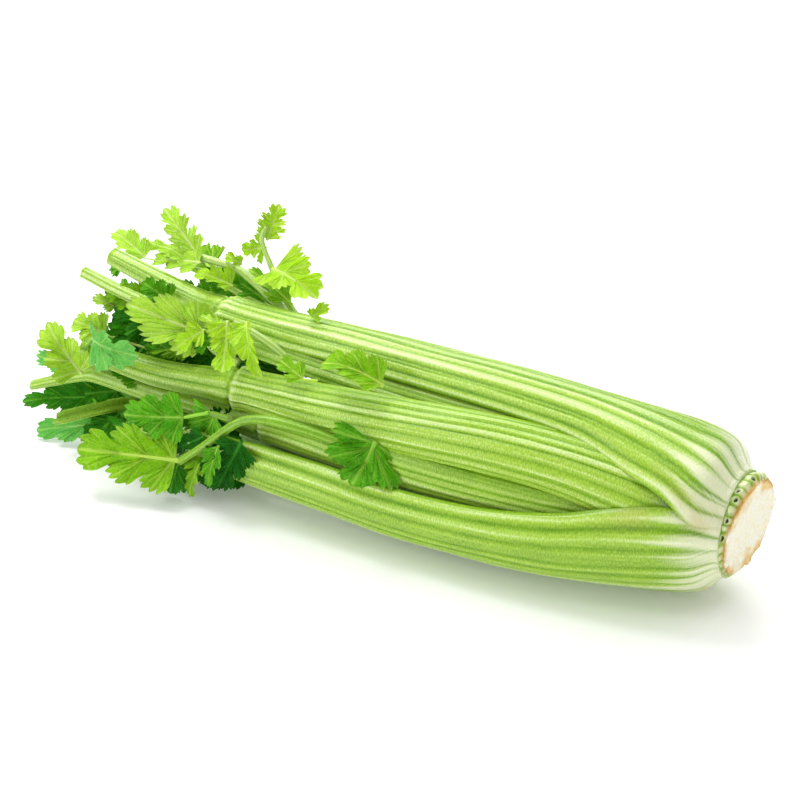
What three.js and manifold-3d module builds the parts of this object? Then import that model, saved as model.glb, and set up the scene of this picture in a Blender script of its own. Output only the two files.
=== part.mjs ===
// A head of celery lying on its side: a cut root crown, leaf stalks nested in rings round the head's
// axis, and beyond each stalk's joint its leaf stem, with side stems and leaflets.
// Millimetres. X runs along the head from the leaves (-) to the root crown (+), Z is up, and the
// surface that the head lies on is z = 0.
import * as THREE from 'three'
import { mergeVertices } from 'three/addons/utils/BufferGeometryUtils.js'
import Module from 'manifold-3d'

const wasm = await Module()
wasm.setup()

// ---- Driving dimensions ----
const AXIS_HEIGHT = 41        // the head's axis above the surface
const CENTRE_X = 5            // the middle of the whole head's length, measured along its axis
const GAP = 0.3               // clearance kept between neighbouring pieces
const BASE_X = 192            // where the stalks meet the root crown
const CROWN = { face: 199, radius: 23, back: 25.5, core: 11, tip: 172, slantY: 0.1, slantZ: 0.09 }
const ARC_POINTS = 7          // points across a stalk's outer face
const STALK_STEP = 17         // half the spacing of the sections along a stalk
const LEAF_THICKNESS = 0.9
const LEAF_STALK_WIDTH = 2
const STEM_SIDES = 8
const CROWN_SIDES = 28
const SURFACE = { length: 600, width: 300, depth: 40 }
const SLIVER = 0.05           // a cut's edges shorter than this are closed up
const WELD = 1e-4             // points nearer than this are one point
const EDGE_CLEARANCE = 1.5    // how many gaps a stalk's thin edges keep

// ---- Colours and finishes ----
const finish = (colour, roughness) => new THREE.MeshStandardMaterial({ color: colour, roughness, metalness: 0 })
const finishes = {
  stalk: finish('#b0d25d', 0.35),
  crown: finish('#f6efd8', 0.7),
  stem: finish('#a6cf4c', 0.4),
  leaf: finish('#6fae1c', 0.5),
}

// ---- Helpers ----
const radians = THREE.MathUtils.degToRad
const { lerp } = THREE.MathUtils

// A closed skin over a row of sections. Each section has an upper and a lower row of equally many
// points, and the two ends are closed by strips between those rows.
function loft(sections) {
  const width = sections[0].upper.length
  const ring = 2 * width
  const points = sections.flatMap(({ upper, lower }) => [...upper, ...lower.toReversed()])
  const faces = []
  const quad = (a, b, c, d) => faces.push(a, b, c, a, c, d)
  for (let s = 0; s < sections.length - 1; s++) {
    for (let i = 0; i < ring; i++) {
      const next = (i + 1) % ring
      quad(s * ring + i, s * ring + next, (s + 1) * ring + next, (s + 1) * ring + i)
    }
  }
  const last = (sections.length - 1) * ring
  for (let i = 0; i < width - 1; i++) {
    const below = ring - 1 - i
    quad(i, below, below - 1, i + 1)
    quad(last + i, last + i + 1, last + below - 1, last + below)
  }
  const geometry = new THREE.BufferGeometry().setFromPoints(points)
  geometry.setIndex(signedVolume(points, faces) < 0 ? faces.toReversed() : faces)
  return geometry
}

function signedVolume(points, faces) {
  let sum = 0
  for (let f = 0; f < faces.length; f += 3) {
    const [a, b, c] = [0, 1, 2].map(k => points[faces[f + k]])
    sum += a.dot(new THREE.Vector3().crossVectors(b, c)) / 6
  }
  return sum
}

// Values read smoothly between the rows of a table whose first column runs steadily down.
function readRow(rows, x) {
  const passed = rows.findIndex(row => row[0] < x)
  const k = passed < 0 ? rows.length - 2 : Math.max(0, passed - 1)
  const [before, from, to, after] = [k - 1, k, k + 1, k + 2]
    .map(i => rows[THREE.MathUtils.clamp(i, 0, rows.length - 1)])
  const span = to[0] - from[0]
  const t = THREE.MathUtils.clamp((x - from[0]) / span, 0, 1)
  return from.map((value, i) => {
    const slopeIn = from === before ? (to[i] - value) / span : (to[i] - before[i]) / (to[0] - before[0])
    const slopeOut = to === after ? (to[i] - value) / span : (after[i] - value) / (after[0] - from[0])
    return value * (1 + 2 * t) * (1 - t) ** 2 + to[i] * t * t * (3 - 2 * t)
      + span * (slopeIn * t * (1 - t) ** 2 - slopeOut * t * t * (1 - t))
  })
}

// ---- Root crown ----
// The short stem that every stalk grows from: a slanting sliced face, a collar that the stalk bases
// butt against, and a cone that runs up between them.
function rootCrown(grow) {
  const { face, radius, back, core, tip, slantY, slantZ } = CROWN
  const outline = [
    [0, tip - grow], [core + grow, BASE_X + GAP - grow], [back + grow, BASE_X + GAP - grow],
    [back + grow, BASE_X + 3], [radius + grow, face - 1.2], [radius - 1, face], [0, face],
  ]
  const turned = new THREE.LatheGeometry(outline.map(([r, x]) => new THREE.Vector2(r, x)), CROWN_SIDES)
  turned.deleteAttribute('normal')
  turned.deleteAttribute('uv')
  const geometry = mergeVertices(turned.rotateZ(-Math.PI / 2), WELD)
  const { position } = geometry.attributes
  for (let i = 0; i < position.count; i++) {
    const slant = position.getX(i) > face - 2 ? slantY * position.getY(i) + slantZ * position.getZ(i) : 0
    position.setX(i, position.getX(i) + slant)
  }
  geometry.translate(0, 0, AXIS_HEIGHT)
  return withoutSlivers(geometry)
}

// Move a row of sections' two ends outwards.
function lengthen(sections, grow) {
  for (const [end, inner] of [[0, 1], [sections.length - 1, sections.length - 2]]) {
    const outwards = sections[end].upper[0].clone().sub(sections[inner].upper[0]).setLength(grow)
    for (const point of [...sections[end].upper, ...sections[end].lower]) point.add(outwards)
  }
}

// The turned outline meets the axis at single points, where its faces shrink to nothing.
function withoutSlivers(geometry) {
  const index = geometry.index.array
  const kept = []
  for (let f = 0; f < index.length; f += 3) {
    const [a, b, c] = index.slice(f, f + 3)
    if (a !== b && b !== c && c !== a) kept.push(a, b, c)
  }
  geometry.setIndex(kept)
  return geometry
}

// ---- Stalks ----
// A stalk's section is a crescent: an arc of the given half width and bow, thick at its crown and thin
// at its edges. Where a stem's crown is thicker than its arc's radius, its inner face bulges and the section
// is nearly round. Facing 0 looks straight up and 90 looks to -Y.
function stalkSection([x, y, z, facing, half, bow, crown, edge], grow) {
  const radius = (half * half + bow * bow) / (2 * bow)
  const sweep = Math.atan2(half, radius - bow) + EDGE_CLEARANCE * grow / radius
  const turn = radians(facing)
  const upper = []
  const lower = []
  for (let i = 0; i < ARC_POINTS; i++) {
    const phi = sweep * (2 * i / (ARC_POINTS - 1) - 1)
    const thick = edge + (crown - edge) * Math.cos(phi / sweep * Math.PI / 2)
    const place = (reach, narrowest) => {
      const across = Math.max(reach, narrowest) * Math.sin(phi)
      const out = reach * Math.cos(phi) - radius
      return new THREE.Vector3(x, y - across * Math.cos(turn) - out * Math.sin(turn),
        AXIS_HEIGHT + z - across * Math.sin(turn) + out * Math.cos(turn))
    }
    upper.push(place(radius + grow, 0))
    lower.push(place(radius - thick - grow, (radius - edge) / 2))
  }
  return { upper, lower }
}

// ring rows: x, angle round the axis, reach from it, half width, bow, crown and edge thickness.
// tail rows: x, y, z from the axis, facing, then the same four.
function stalk({ ring, tail }, grow) {
  const rows = [
    ...ring.map(([x, angle, reach, ...shape]) => [
      x, -reach * Math.sin(radians(angle)), reach * Math.cos(radians(angle)), angle, ...shape]),
    ...tail,
  ]
  const stations = []
  for (let k = 0; k < rows.length - 1; k++) {
    const parts = Math.max(1, Math.round((rows[k][0] - rows[k + 1][0]) / (2 * STALK_STEP)))
    for (let p = 0; p < parts; p++) stations.push(lerp(rows[k][0], rows[k + 1][0], p / parts))
  }
  stations.push(rows.at(-1)[0])
  const sections = stations.map(x => stalkSection(readRow(rows, x), grow))
  lengthen(sections, grow)
  return loft(sections)
}

const stalks = {
  stalk_top: {
    ring: [
      [BASE_X, 8, 26.5, 23, 15, 3, 1],
      [184, 8, 36.5, 32, 19, 5, 1],
      [170, 7, 41, 31, 14, 6.5, 1],
      [148, 5, 45, 26.5, 14.5, 7.5, 1.2],
      [120, 3, 47.5, 20, 13.5, 8, 2],
      [85, 2, 48.5, 17.5, 13, 8, 3],
      [40, 1, 48.5, 16.5, 12.5, 8, 3.5],
      [-10, 0, 48.5, 16, 12, 8, 3.5],
      [-45, 0, 48, 15, 11.5, 8, 3.5],
      [-82, -2, 47, 12.5, 9.5, 8, 3],
    ],
    tail: [
      [-90, 2, 46.5, -2, 12, 9.5, 10, 3],
      [-98, 3, 46, 0, 9.5, 9, 11.5, 3.5],
      [-125, 5, 49.5, 5, 8, 8, 11, 3.5],
      [-158, 6, 56, 8, 6.4, 6.4, 9.5, 3.5],
    ],
  },
  stalk_front: {
    ring: [
      [BASE_X, 114, 26, 20, 10, 3, 1],
      [184, 113, 33.5, 27.5, 15, 5, 1],
      [170, 112, 39, 29, 15.5, 6.5, 1.2],
      [148, 112, 45.5, 26, 16.5, 7.5, 1.6],
      [120, 113, 51.5, 21, 15.5, 8, 2.5],
      [85, 114, 55, 18, 14, 8, 3],
      [40, 115, 55.8, 17, 13.5, 8, 3.5],
      [0, 113, 54.5, 16.5, 13, 8, 3.5],
      [-40, 112, 52.5, 15, 11.6, 8, 3.5],
      [-75, 112, 50, 12, 9.5, 7, 3],
    ],
    tail: [
      [-84, -46, -20, 112, 11, 9, 9, 3],
      [-92, -44, -21, 112, 6.5, 7, 9, 3],
      [-120, -40, -22, 110, 5.5, 6, 9, 3],
    ],
  },
  stalk_front_upper: {
    ring: [
      [BASE_X, 60, 22, 15, 6, 3, 1],
      [184, 58, 29.5, 20, 8.5, 4.5, 1],
      [170, 54, 34, 22, 11, 6, 1.2],
      [148, 51, 40, 18.5, 12, 7, 1.8],
      [120, 49, 44, 16, 12, 7.5, 2.5],
      [85, 50, 46.5, 15, 11.5, 7.5, 3],
      [40, 54, 46, 14, 10.5, 7.5, 3.2],
      [-10, 58, 43, 13, 10, 7.5, 3.2],
      [-50, 59, 39, 11, 8.8, 7.5, 3.2],
    ],
    tail: [
      [-66, -31, 18, 59, 10.6, 8.8, 10, 3],
      [-76, -31, 17, 58, 9, 8, 10, 3.2],
      [-110, -31.5, 15, 55, 7.6, 7, 9.5, 3.2],
      [-152, -32, 19, 50, 6.8, 6.6, 9, 3.2],
    ],
  },
  stalk_under: {
    ring: [
      [BASE_X, 200, 26, 19, 9.5, 3, 1],
      [184, 200, 34.5, 26, 13, 5, 1],
      [170, 201, 39, 25, 12, 6.5, 1.2],
      [148, 202, 42.5, 21, 12.5, 7.5, 1.6],
      [120, 203, 44, 18, 12.5, 8, 2.5],
      [85, 204, 44.5, 16.5, 12, 8, 3],
      [40, 204, 44.5, 15.5, 11.5, 8, 3.5],
      [-10, 204, 44, 15, 11, 8, 3.5],
      [-50, 203, 43, 13.5, 10.5, 8, 3.5],
      [-85, 202, 41.5, 11, 9, 7, 3],
    ],
    tail: [
      [-94, 14, -37, 200, 10, 8, 9, 3],
      [-102, 13, -36.5, 200, 6, 6.5, 8.5, 2.5],
      [-119, 5, -31, 200, 5.4, 5.5, 7.8, 2.2],
      [-138, -12, -23, 200, 5.4, 5.5, 7.8, 2.2],
      [-162, -40, -25, 200, 5.6, 5, 7.4, 2.2],
    ],
  },
  stalk_back: {
    ring: [
      [BASE_X, 283, 26, 19, 9.5, 3, 1],
      [184, 284, 34.5, 27, 13.5, 5, 1],
      [170, 285, 39, 27, 13.5, 6.5, 1.2],
      [148, 286, 44, 23, 14.5, 7.5, 1.6],
      [120, 286, 48, 19, 13.5, 8, 2.5],
      [85, 286, 50, 17, 13, 8, 3],
      [40, 286, 51, 16, 12.5, 8, 3.5],
      [-10, 284, 51, 15, 12, 8, 3.5],
      [-50, 282, 49, 13.5, 10.5, 8, 3.5],
      [-75, 280, 47, 11, 9, 7, 3],
    ],
    tail: [
      [-84, 45, 8, 280, 10, 8, 9, 3],
      [-92, 44, 9, 282, 6, 6.5, 9, 3],
      [-125, 43, 12, 290, 5, 5.5, 9, 3],
    ],
  },
  stalk_front_under: {
    ring: [
      [BASE_X, 157, 22, 14, 5.5, 3, 1],
      [184, 157, 29.5, 19, 7.5, 4.5, 1],
      [170, 157, 33.5, 20, 9, 6, 1.2],
      [148, 157, 38, 17, 10, 7, 1.8],
      [120, 157, 42, 15, 10.5, 7.5, 2.5],
      [85, 157, 44, 14, 10.5, 7.5, 3],
      [40, 157, 44.5, 13.5, 10, 7.5, 3.2],
      [-10, 157, 44.5, 13, 10, 7.5, 3.2],
      [-50, 158, 43.5, 12, 9, 7.5, 3.2],
      [-80, 159, 42, 10.5, 8.5, 7, 3],
    ],
    tail: [
      [-90, -14, -37, 160, 9.5, 8, 9, 3],
      [-98, -13, -36.5, 165, 6, 6.5, 9, 3],
      [-125, -13, -36.5, 168, 5, 5.5, 8.5, 3],
    ],
  },
  stalk_back_under: {
    ring: [
      [BASE_X, 244, 22, 14, 5.5, 3, 1],
      [184, 244, 29.5, 19, 7.5, 4.5, 1],
      [170, 244, 33.5, 20, 9, 6, 1.2],
      [148, 245, 38, 17, 10, 7, 1.8],
      [120, 246, 43, 14.5, 10, 7.5, 2.5],
      [85, 246, 45, 13.5, 10, 7.5, 3],
      [40, 246, 46, 13, 10, 7.5, 3.2],
      [-10, 245, 46, 12.5, 9.5, 7.5, 3.2],
      [-50, 244, 44, 11.5, 9, 7.5, 3.2],
    ],
    tail: [
      [-64, 38, -19, 244, 9, 8, 9, 3],
      [-72, 37, -19, 244, 5.5, 6, 8, 3],
      [-115, 34, -24, 235, 4.5, 5, 7.5, 3],
    ],
  },
  stalk_back_upper: {
    ring: [
      [BASE_X, 328, 22, 14, 5.5, 3, 1],
      [184, 328, 29.5, 19, 7.5, 4.5, 1],
      [170, 328, 34, 20, 9, 6, 1.2],
      [148, 327, 39, 17, 10.5, 7, 1.8],
      [120, 326, 43, 14.5, 10.5, 7.5, 2.5],
      [85, 325, 45, 13.5, 10.5, 7.5, 3],
      [40, 325, 45.5, 13, 10, 7.5, 3.2],
      [-10, 325, 45, 12.5, 9.5, 7.5, 3.2],
      [-50, 325, 43, 11, 9, 7.5, 3.2],
    ],
    tail: [
      [-64, 24, 36, 325, 9, 8, 9, 3],
      [-72, 24, 37, 325, 5.5, 6, 8, 3],
      [-110, 26, 47, 330, 4.5, 5, 7.5, 3],
    ],
  },
  inner_top: {
    ring: [
      [BASE_X, 25, 18.5, 9, 2.7, 2.6, 1],
      [184, 25, 24.5, 13, 4.5, 4, 1],
      [150, 25, 32, 14, 8, 5.5, 1.6],
      [110, 26, 37, 12, 9, 6, 2.4],
      [50, 24, 37, 10, 8, 6, 2.6],
      [0, 22, 37.5, 9, 7.5, 6, 2.6],
      [-60, 18, 40, 8, 7, 6, 2.6],
    ],
    tail: [
      [-72, -12, 40, 15, 7.5, 6.5, 7.5, 2.6],
      [-80, -11.5, 39.5, 15, 5, 5.5, 7, 2.6],
      [-132, -10, 43, 15, 4.2, 4.8, 7, 2.6],
      [-165, -10, 50, 15, 3.8, 4.2, 7, 2.6],
    ],
  },
  inner_front: {
    ring: [
      [BASE_X, 92, 18.5, 9, 2.7, 2.6, 1],
      [184, 92, 24.5, 13, 4.5, 4, 1],
      [150, 90, 31, 14, 8, 5.5, 1.6],
      [110, 88, 38.5, 12, 9, 6, 2.4],
      [50, 87, 42, 12.5, 9, 6, 2.6],
      [0, 85, 41, 12, 8.5, 6, 2.6],
    ],
    tail: [
      [-50, -33, 0, 86, 9.5, 7.5, 6.5, 2.6],
      [-62, -31, -2, 86, 8, 7, 7.5, 2.6],
      [-70, -29.5, -2.5, 86, 6, 5.8, 7.5, 2.6],
      [-110, -29.5, -1, 80, 5.6, 5.4, 7.5, 2.6],
      [-148, -30, 2, 70, 5.2, 5, 7.2, 2.6],
      [-156, -30, -0.5, 70, 4, 4.2, 6.6, 2.4],
      [-189, -31, -14, 70, 3.2, 3.4, 5.6, 2],
    ],
  },
  inner_under: {
    ring: [
      [BASE_X, 180, 18.5, 9, 2.7, 2.6, 1],
      [184, 180, 24.5, 13, 4.5, 4, 1],
      [150, 180, 29, 13, 7.5, 5.5, 1.6],
      [110, 180, 30, 11, 8, 6, 2.4],
      [50, 180, 30, 10.5, 8, 6, 2.6],
      [-20, 180, 29, 9.5, 7.5, 6, 2.6],
      [-70, 180, 26, 7.5, 6, 6, 2.6],
    ],
    tail: [
      [-120, 2, -18, 180, 4.5, 5, 6.5, 2.6],
    ],
  },
  inner_back: {
    ring: [
      [BASE_X, 288, 18.5, 9, 2.7, 2.6, 1],
      [184, 288, 24.5, 13, 4.5, 4, 1],
      [150, 288, 30, 14, 8, 5.5, 1.6],
      [110, 288, 34, 12, 9, 6, 2.4],
      [50, 288, 35, 10.5, 8, 6, 2.6],
      [-20, 288, 34, 9.5, 7.5, 6, 2.6],
      [-60, 288, 31, 7.5, 6, 6, 2.6],
    ],
    tail: [
      [-110, 25, 20, 300, 4.2, 4.6, 6.5, 2.6],
    ],
  },
  heart_front: {
    ring: [
      [BASE_X, 100, 15, 5, 1.6, 2, 0.8],
      [150, 100, 23, 10, 6, 4, 1.4],
      [90, 95, 23, 9, 7, 4.5, 2],
      [0, 80, 20, 7.5, 6, 4.5, 2],
      [-70, 60, 18, 5.5, 5, 4.5, 2],
    ],
    tail: [
      [-105, -8, 10, 60, 3.5, 4, 5, 2],
    ],
  },
  heart_back: {
    ring: [
      [BASE_X, 260, 15, 5, 1.6, 2, 0.8],
      [150, 265, 22, 10, 6, 4, 1.4],
      [90, 270, 20, 9, 7, 4.5, 2],
      [0, 280, 16, 7.5, 6, 4.5, 2],
      [-80, 290, 14, 5, 4.6, 4.5, 2],
    ],
    tail: [
      [-110, 10, 4, 290, 3.2, 3.6, 5, 2],
    ],
  },
}

// ---- Side stems ----
// Thin stems that branch from a joint or a leaf stem: points along the stem, then the radius at its
// two ends. Heights are above the surface.
const stems = {
  side_stem_front: [
    [[26, -38, 47], [8, -40, 50.5], [-10, -42.5, 53.5], [-27, -45.3, 55],
      [-38, -47.3, 54], [-47, -48.8, 49.5], [-62, -50.2, 36], [-79, -51, 21.5]], 2.6, 2],
  side_stem_front_short: [[[-51, -46.2, 50], [-63, -45, 49.5]], 1.8, 1.5],
  side_stem_top: [[[-52, 17, 73], [-67, 20, 82], [-81, 21, 90], [-92, 21, 95], [-112, 19, 97.5]], 2.6, 1.9],
  side_stem_upright: [[[-58, 27, 72], [-66, 26, 83], [-73, 26, 97], [-80, 28, 110], [-79, 31, 117]], 2, 1.2],
  side_stem_left: [[[-153, -31.5, 46], [-158, -31, 52], [-161, -32, 57]], 2.6, 1.6],
  side_stem_fan: [[[-64, -19, 65], [-78, -19.5, 70], [-90, -15.5, 75]], 2.4, 1.8],
  side_stem_heart: [[[-30, -15, 69], [-43, -15, 76.5], [-55, -17, 83], [-65.5, -20, 88]], 2.4, 1.3],
  side_stem_back: [[[-126, 44, 53], [-140, 50, 50], [-152, 56, 45]], 2.6, 1.6],
}

function sideStem([route, startRadius, endRadius], grow) {
  const curve = new THREE.CatmullRomCurve3(route.map(point => new THREE.Vector3(...point)))
  const steps = 2 * (route.length - 1)
  const { normals, binormals } = curve.computeFrenetFrames(steps)
  const half = STEM_SIDES / 2
  const sections = []
  for (let s = 0; s <= steps; s++) {
    const radius = lerp(startRadius, endRadius, s / steps) + grow
    const point = angle => curve.getPointAt(s / steps)
      .addScaledVector(normals[s], radius * Math.cos(angle))
      .addScaledVector(binormals[s], radius * Math.sin(angle))
    const angles = Array.from({ length: half }, (_, i) => (i + 0.5) * Math.PI / half)
    sections.push({ upper: angles.map(point), lower: angles.map(angle => point(-angle)) })
  }
  lengthen(sections, grow)
  return loft(sections)
}

// ---- Leaflets ----
// Each leaflet: the base and the tip of its blade, its full width, its lean (how far the blade is turned
// about its midrib from facing FRONT), the arch of its midrib, the fold of its two halves in degrees and,
// where the blade stands off from what carries it, the root of its own small stalk.
const FRONT = new THREE.Vector3(0.45, -0.77, 0.45)
// The blade's outline as fractions of its length and of its half width: side lobes, then the end lobe.
const BLADE = [[0, 0.06], [0.14, 0.3], [0.34, 1], [0.52, 0.66], [0.66, 0.74], [0.84, 0.42], [1, 0.05]]
const leaflets = {
  leaf_front_large: [[-78.5, -52, 22.5], [-131, -66, 21.5], 36, 4, 4, 8],
  leaf_front_behind: [[-78.5, -45, 43.5], [-112.5, -51, 39], 27, -10, 3, 10, [-65, -44.5, 49.3]],
  leaf_front_hanging: [[-63, -42, 48], [-74, -45.5, 28], 27, 25, -2, 25],
  leaf_low_dark: [[-81, -50, 19], [-85.5, -52, 2], 22, 0, 2, 10],
  leaf_low_bright: [[-68, -44, 26], [-74, -51, 3], 15, 25, 3, 25],
  leaf_low_inner: [[-61, -43, 34], [-66, -47, 11], 14, 20, 2, 30],
  leaf_left_end: [[-161, -15, 20], [-192, -34, 18], 22, 15, 3, 10, [-152, -21, 20]],
  leaf_left_dark: [[-147, -9, 25], [-184, -21, 18], 28, -10, 2, 10, [-139, -9, 22]],
  leaf_left_low: [[-146, -24, 12.5], [-184, -34, 3], 20, 10, 2, 10, [-140, -14, 15]],
  leaf_left_floor: [[-140, -18, 18], [-152, -31, 4], 26, 0, 2, 10, [-134, -8, 17]],
  leaf_left_pale: [[-150, -35, 45.5], [-167.5, -38, 71], 32, -5, 5, 38],
  leaf_left_small: [[-168, -23, 39], [-187, -26, 43], 13, 0, 1, 10],
  leaf_left_upper: [[-148, -16, 60], [-166, -19, 65], 22, 10, 1, 25, [-106, -7, 51]],
  leaf_blue_green: [[-142.5, -34, 66], [-109, -40, 67], 26, 20, 4, 20, [-149, -31, 58]],
  leaf_fan: [[-88.5, -16.5, 75.5], [-127.5, -24, 85], 30, 0, 3, 12],
  leaf_fan_dark: [[-121, -2, 64], [-147, -9, 74], 34, -10, 2, 10, [-108, 2, 62]],
  leaf_small_pale: [[-80, -24, 82], [-93, -30, 72], 15, 10, 1, 20, [-76, -18.5, 79]],
  leaf_bright_hanging: [[-67.5, -22, 89], [-60, -39, 70], 21, 0, -3, 12],
  leaf_curled: [[-57.5, -20, 89.5], [-39.5, -35, 71], 18, 25, 4, 35],
  leaf_over_stalk: [[-18, -31, 73.5], [-34.5, -27, 78.5], 13, 0, 1, 20, [-12, -28, 73]],
  leaf_on_stalk: [[25, -29, 80], [-8.5, -30, 84], 24, 30, 5, 30],
  leaf_under_stalk: [[27, -40, 56], [20, -51, 36], 44, -8, 4, 8],
  leaf_top_spear: [[-113.5, 20, 97.5], [-141.5, 30, 114.5], 17, 0, 2, 10],
  leaf_top_flat: [[-111, 17, 96], [-159.5, 33, 90], 17, 45, 2, 10],
  leaf_top_left: [[-146, 18, 90], [-175, 30, 94], 16, 20, 2, 20, [-111, 25, 88]],
  leaf_top_fan: [[-72, 25, 97.5], [-41, 18, 91], 37, -26, 3, 26],
  leaf_top_end: [[-79, 31, 109.5], [-75.5, 38, 127.5], 16, 0, 1, 10],
  leaf_top_side: [[-78, 28, 107], [-90, 24, 104.5], 18, 0, -2, 15],
  leaf_top_long: [[-57.5, 20, 83.5], [-90, 29, 92.5], 15, 20, 2, 15],
  leaf_shade_upper: [[-90, 25, 83], [-114, 21, 87], 18, 0, 2, 10],
  leaf_back_long: [[-127, 42, 53], [-165, 50, 44], 29, 200, 4, 10],
  leaf_back_out: [[-153, 57, 44], [-166, 69, 28], 24, 160, 4, 12],
  leaf_back_low: [[-117, 35, 16], [-146, 52, 8], 27, 150, 3, 10],
  leaf_back_upper: [[-112, 27, 86], [-138, 48, 84], 29, 150, 3, 12],
  leaf_heart_long: [[-102, -7, 54], [-142, 3, 56], 29, 0, 3, 10],
  leaf_heart_low: [[-123, 5, 30], [-160, 14, 28], 29, 10, 3, 10],
}

function leaflet([base, tip, width, lean, arch, fold, root], grow) {
  const from = new THREE.Vector3(...base)
  const along = new THREE.Vector3(...tip).sub(from)
  const ahead = along.clone().normalize()
  const across = new THREE.Vector3().crossVectors(ahead, FRONT).normalize().applyAxisAngle(ahead, radians(lean))
  const normal = new THREE.Vector3().crossVectors(across, ahead)
  const section = (middle, half) => {
    const row = side => [-1, 0, 1].map(edge => middle.clone()
      .addScaledVector(across, edge * half * Math.cos(radians(fold)))
      .addScaledVector(normal, Math.abs(edge) * half * Math.sin(radians(fold)) + side * (LEAF_THICKNESS / 2 + grow)))
    return { upper: row(1), lower: row(-1) }
  }
  const sections = BLADE.map(([t, share]) => section(
    from.clone().addScaledVector(along, t).addScaledVector(normal, arch * 4 * t * (1 - t)),
    share * width / 2 + grow))
  if (root) sections.unshift(section(new THREE.Vector3(...root), LEAF_STALK_WIDTH / 2 + grow))
  lengthen(sections, grow)
  return loft(sections)
}

// ---- Clearances ----
// In the real head the pieces press on each other. Here each one gives way, by the clearance, to the
// surface and to the pieces placed before it, and only its main body is kept.
const bulks = []

function toSolid(geometry) {
  return new wasm.Manifold(new wasm.Mesh({
    numProp: 3,
    vertProperties: new Float32Array(geometry.attributes.position.array),
    triVerts: new Uint32Array(geometry.index.array),
  }))
}

function toGeometry(solid) {
  const { vertProperties, triVerts } = solid.getMesh()
  const geometry = new THREE.BufferGeometry()
  geometry.setAttribute('position', new THREE.BufferAttribute(new Float32Array(vertProperties), 3))
  geometry.setIndex(new THREE.BufferAttribute(new Uint32Array(triVerts), 1))
  return geometry
}

function settle(shape) {
  let solid = toSolid(shape(0))
  const box = new THREE.Box3().setFromBufferAttribute(shape(GAP).attributes.position)
  for (const bulk of bulks) {
    if (box.intersectsBox(bulk.box)) solid = solid.subtract(bulk.solid)
  }
  const [main] = solid.decompose().sort((a, b) => b.volume() - a.volume())
  bulks.push({ solid: toSolid(shape(GAP)), box })
  return toGeometry(main.simplify(SLIVER))
}

// ---- Assembly ----
const head = new THREE.Group()
head.position.x = -CENTRE_X

const surface = new THREE.BoxGeometry(SURFACE.length, SURFACE.width, SURFACE.depth)
surface.deleteAttribute('normal')
surface.deleteAttribute('uv')
const floor = mergeVertices(surface.translate(0, 0, -SURFACE.depth / 2))
bulks.push({ solid: toSolid(floor), box: new THREE.Box3().setFromBufferAttribute(floor.attributes.position) })

function add(name, shape, material) {
  const mesh = new THREE.Mesh(settle(shape), material)
  mesh.name = name
  head.add(mesh)
}

add('root_crown', rootCrown, finishes.crown)
for (const [name, rows] of Object.entries(stalks)) add(name, grow => stalk(rows, grow), finishes.stalk)
for (const [name, rows] of Object.entries(stems)) add(name, grow => sideStem(rows, grow), finishes.stem)
for (const [name, rows] of Object.entries(leaflets)) add(name, grow => leaflet(rows, grow), finishes.leaf)

export default head
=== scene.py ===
# %% [markdown]
# # A head of celery
# We rebuild a whole head of celery that lies on its side: a cut root crown, fourteen leaf stalks nested
# round it, the leaf stems beyond their joints, and the toothed leaflets at the far end.
# The construction was settled before this lesson starts. It is loaded here as a frame of plain solids, and
# every piece below takes its place from that frame, so nothing has to be fitted by eye.

# %% Load the frame
import math

import bpy
import numpy as np
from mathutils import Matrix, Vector


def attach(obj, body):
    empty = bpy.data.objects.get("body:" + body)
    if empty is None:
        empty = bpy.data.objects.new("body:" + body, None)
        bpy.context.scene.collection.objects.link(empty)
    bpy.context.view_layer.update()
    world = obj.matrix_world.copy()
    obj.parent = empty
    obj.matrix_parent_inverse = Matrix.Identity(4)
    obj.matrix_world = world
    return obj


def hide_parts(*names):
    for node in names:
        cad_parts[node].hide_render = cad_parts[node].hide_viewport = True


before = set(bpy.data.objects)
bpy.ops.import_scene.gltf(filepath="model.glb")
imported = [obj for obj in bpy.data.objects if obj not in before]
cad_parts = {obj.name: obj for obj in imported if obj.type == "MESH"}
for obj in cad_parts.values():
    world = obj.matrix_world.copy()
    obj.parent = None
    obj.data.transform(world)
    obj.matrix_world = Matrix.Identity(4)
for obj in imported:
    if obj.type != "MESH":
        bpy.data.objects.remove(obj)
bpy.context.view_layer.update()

# %% [markdown]
# ## Units and where things are
# Plant parts are easiest to think about in millimetres, so the tables below are in millimetres and degrees,
# and one helper turns them into Blender's metres. X runs along the head from the leaves to the root crown,
# Z is up, and the table top is z = 0. The frame is centred on the head's length, 5 mm from the tables' zero.

# %% Units
MM = 0.001
CENTRE_X = 5
AXIS_HEIGHT = 41


def metres(points):
    """Points in the tables' millimetres, as Blender's metres in the frame."""
    return (np.asarray(points, float) - [CENTRE_X, 0, 0]) * MM


print("the head's axis, where the tables' x is 0:", metres([0, 0, AXIS_HEIGHT]).round(3))

# %% [markdown]
# ## The camera
# The head is looked down on from the front and from the root crown's side, with a long lens so that the
# stalks keep their true taper. We aim the camera by a compass bearing and a height angle, because those two
# numbers say at a glance where the viewer stands, and a single direction follows from them.

# %% Camera
VIEW_BEARING, VIEW_HEIGHT = math.radians(30.5), math.radians(27)
VIEW_DISTANCE = 1.110
VIEW_TARGET = Vector((-0.005, 0.0285, 0.041))
LENS, SENSOR_WIDTH = 100, 36

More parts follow.
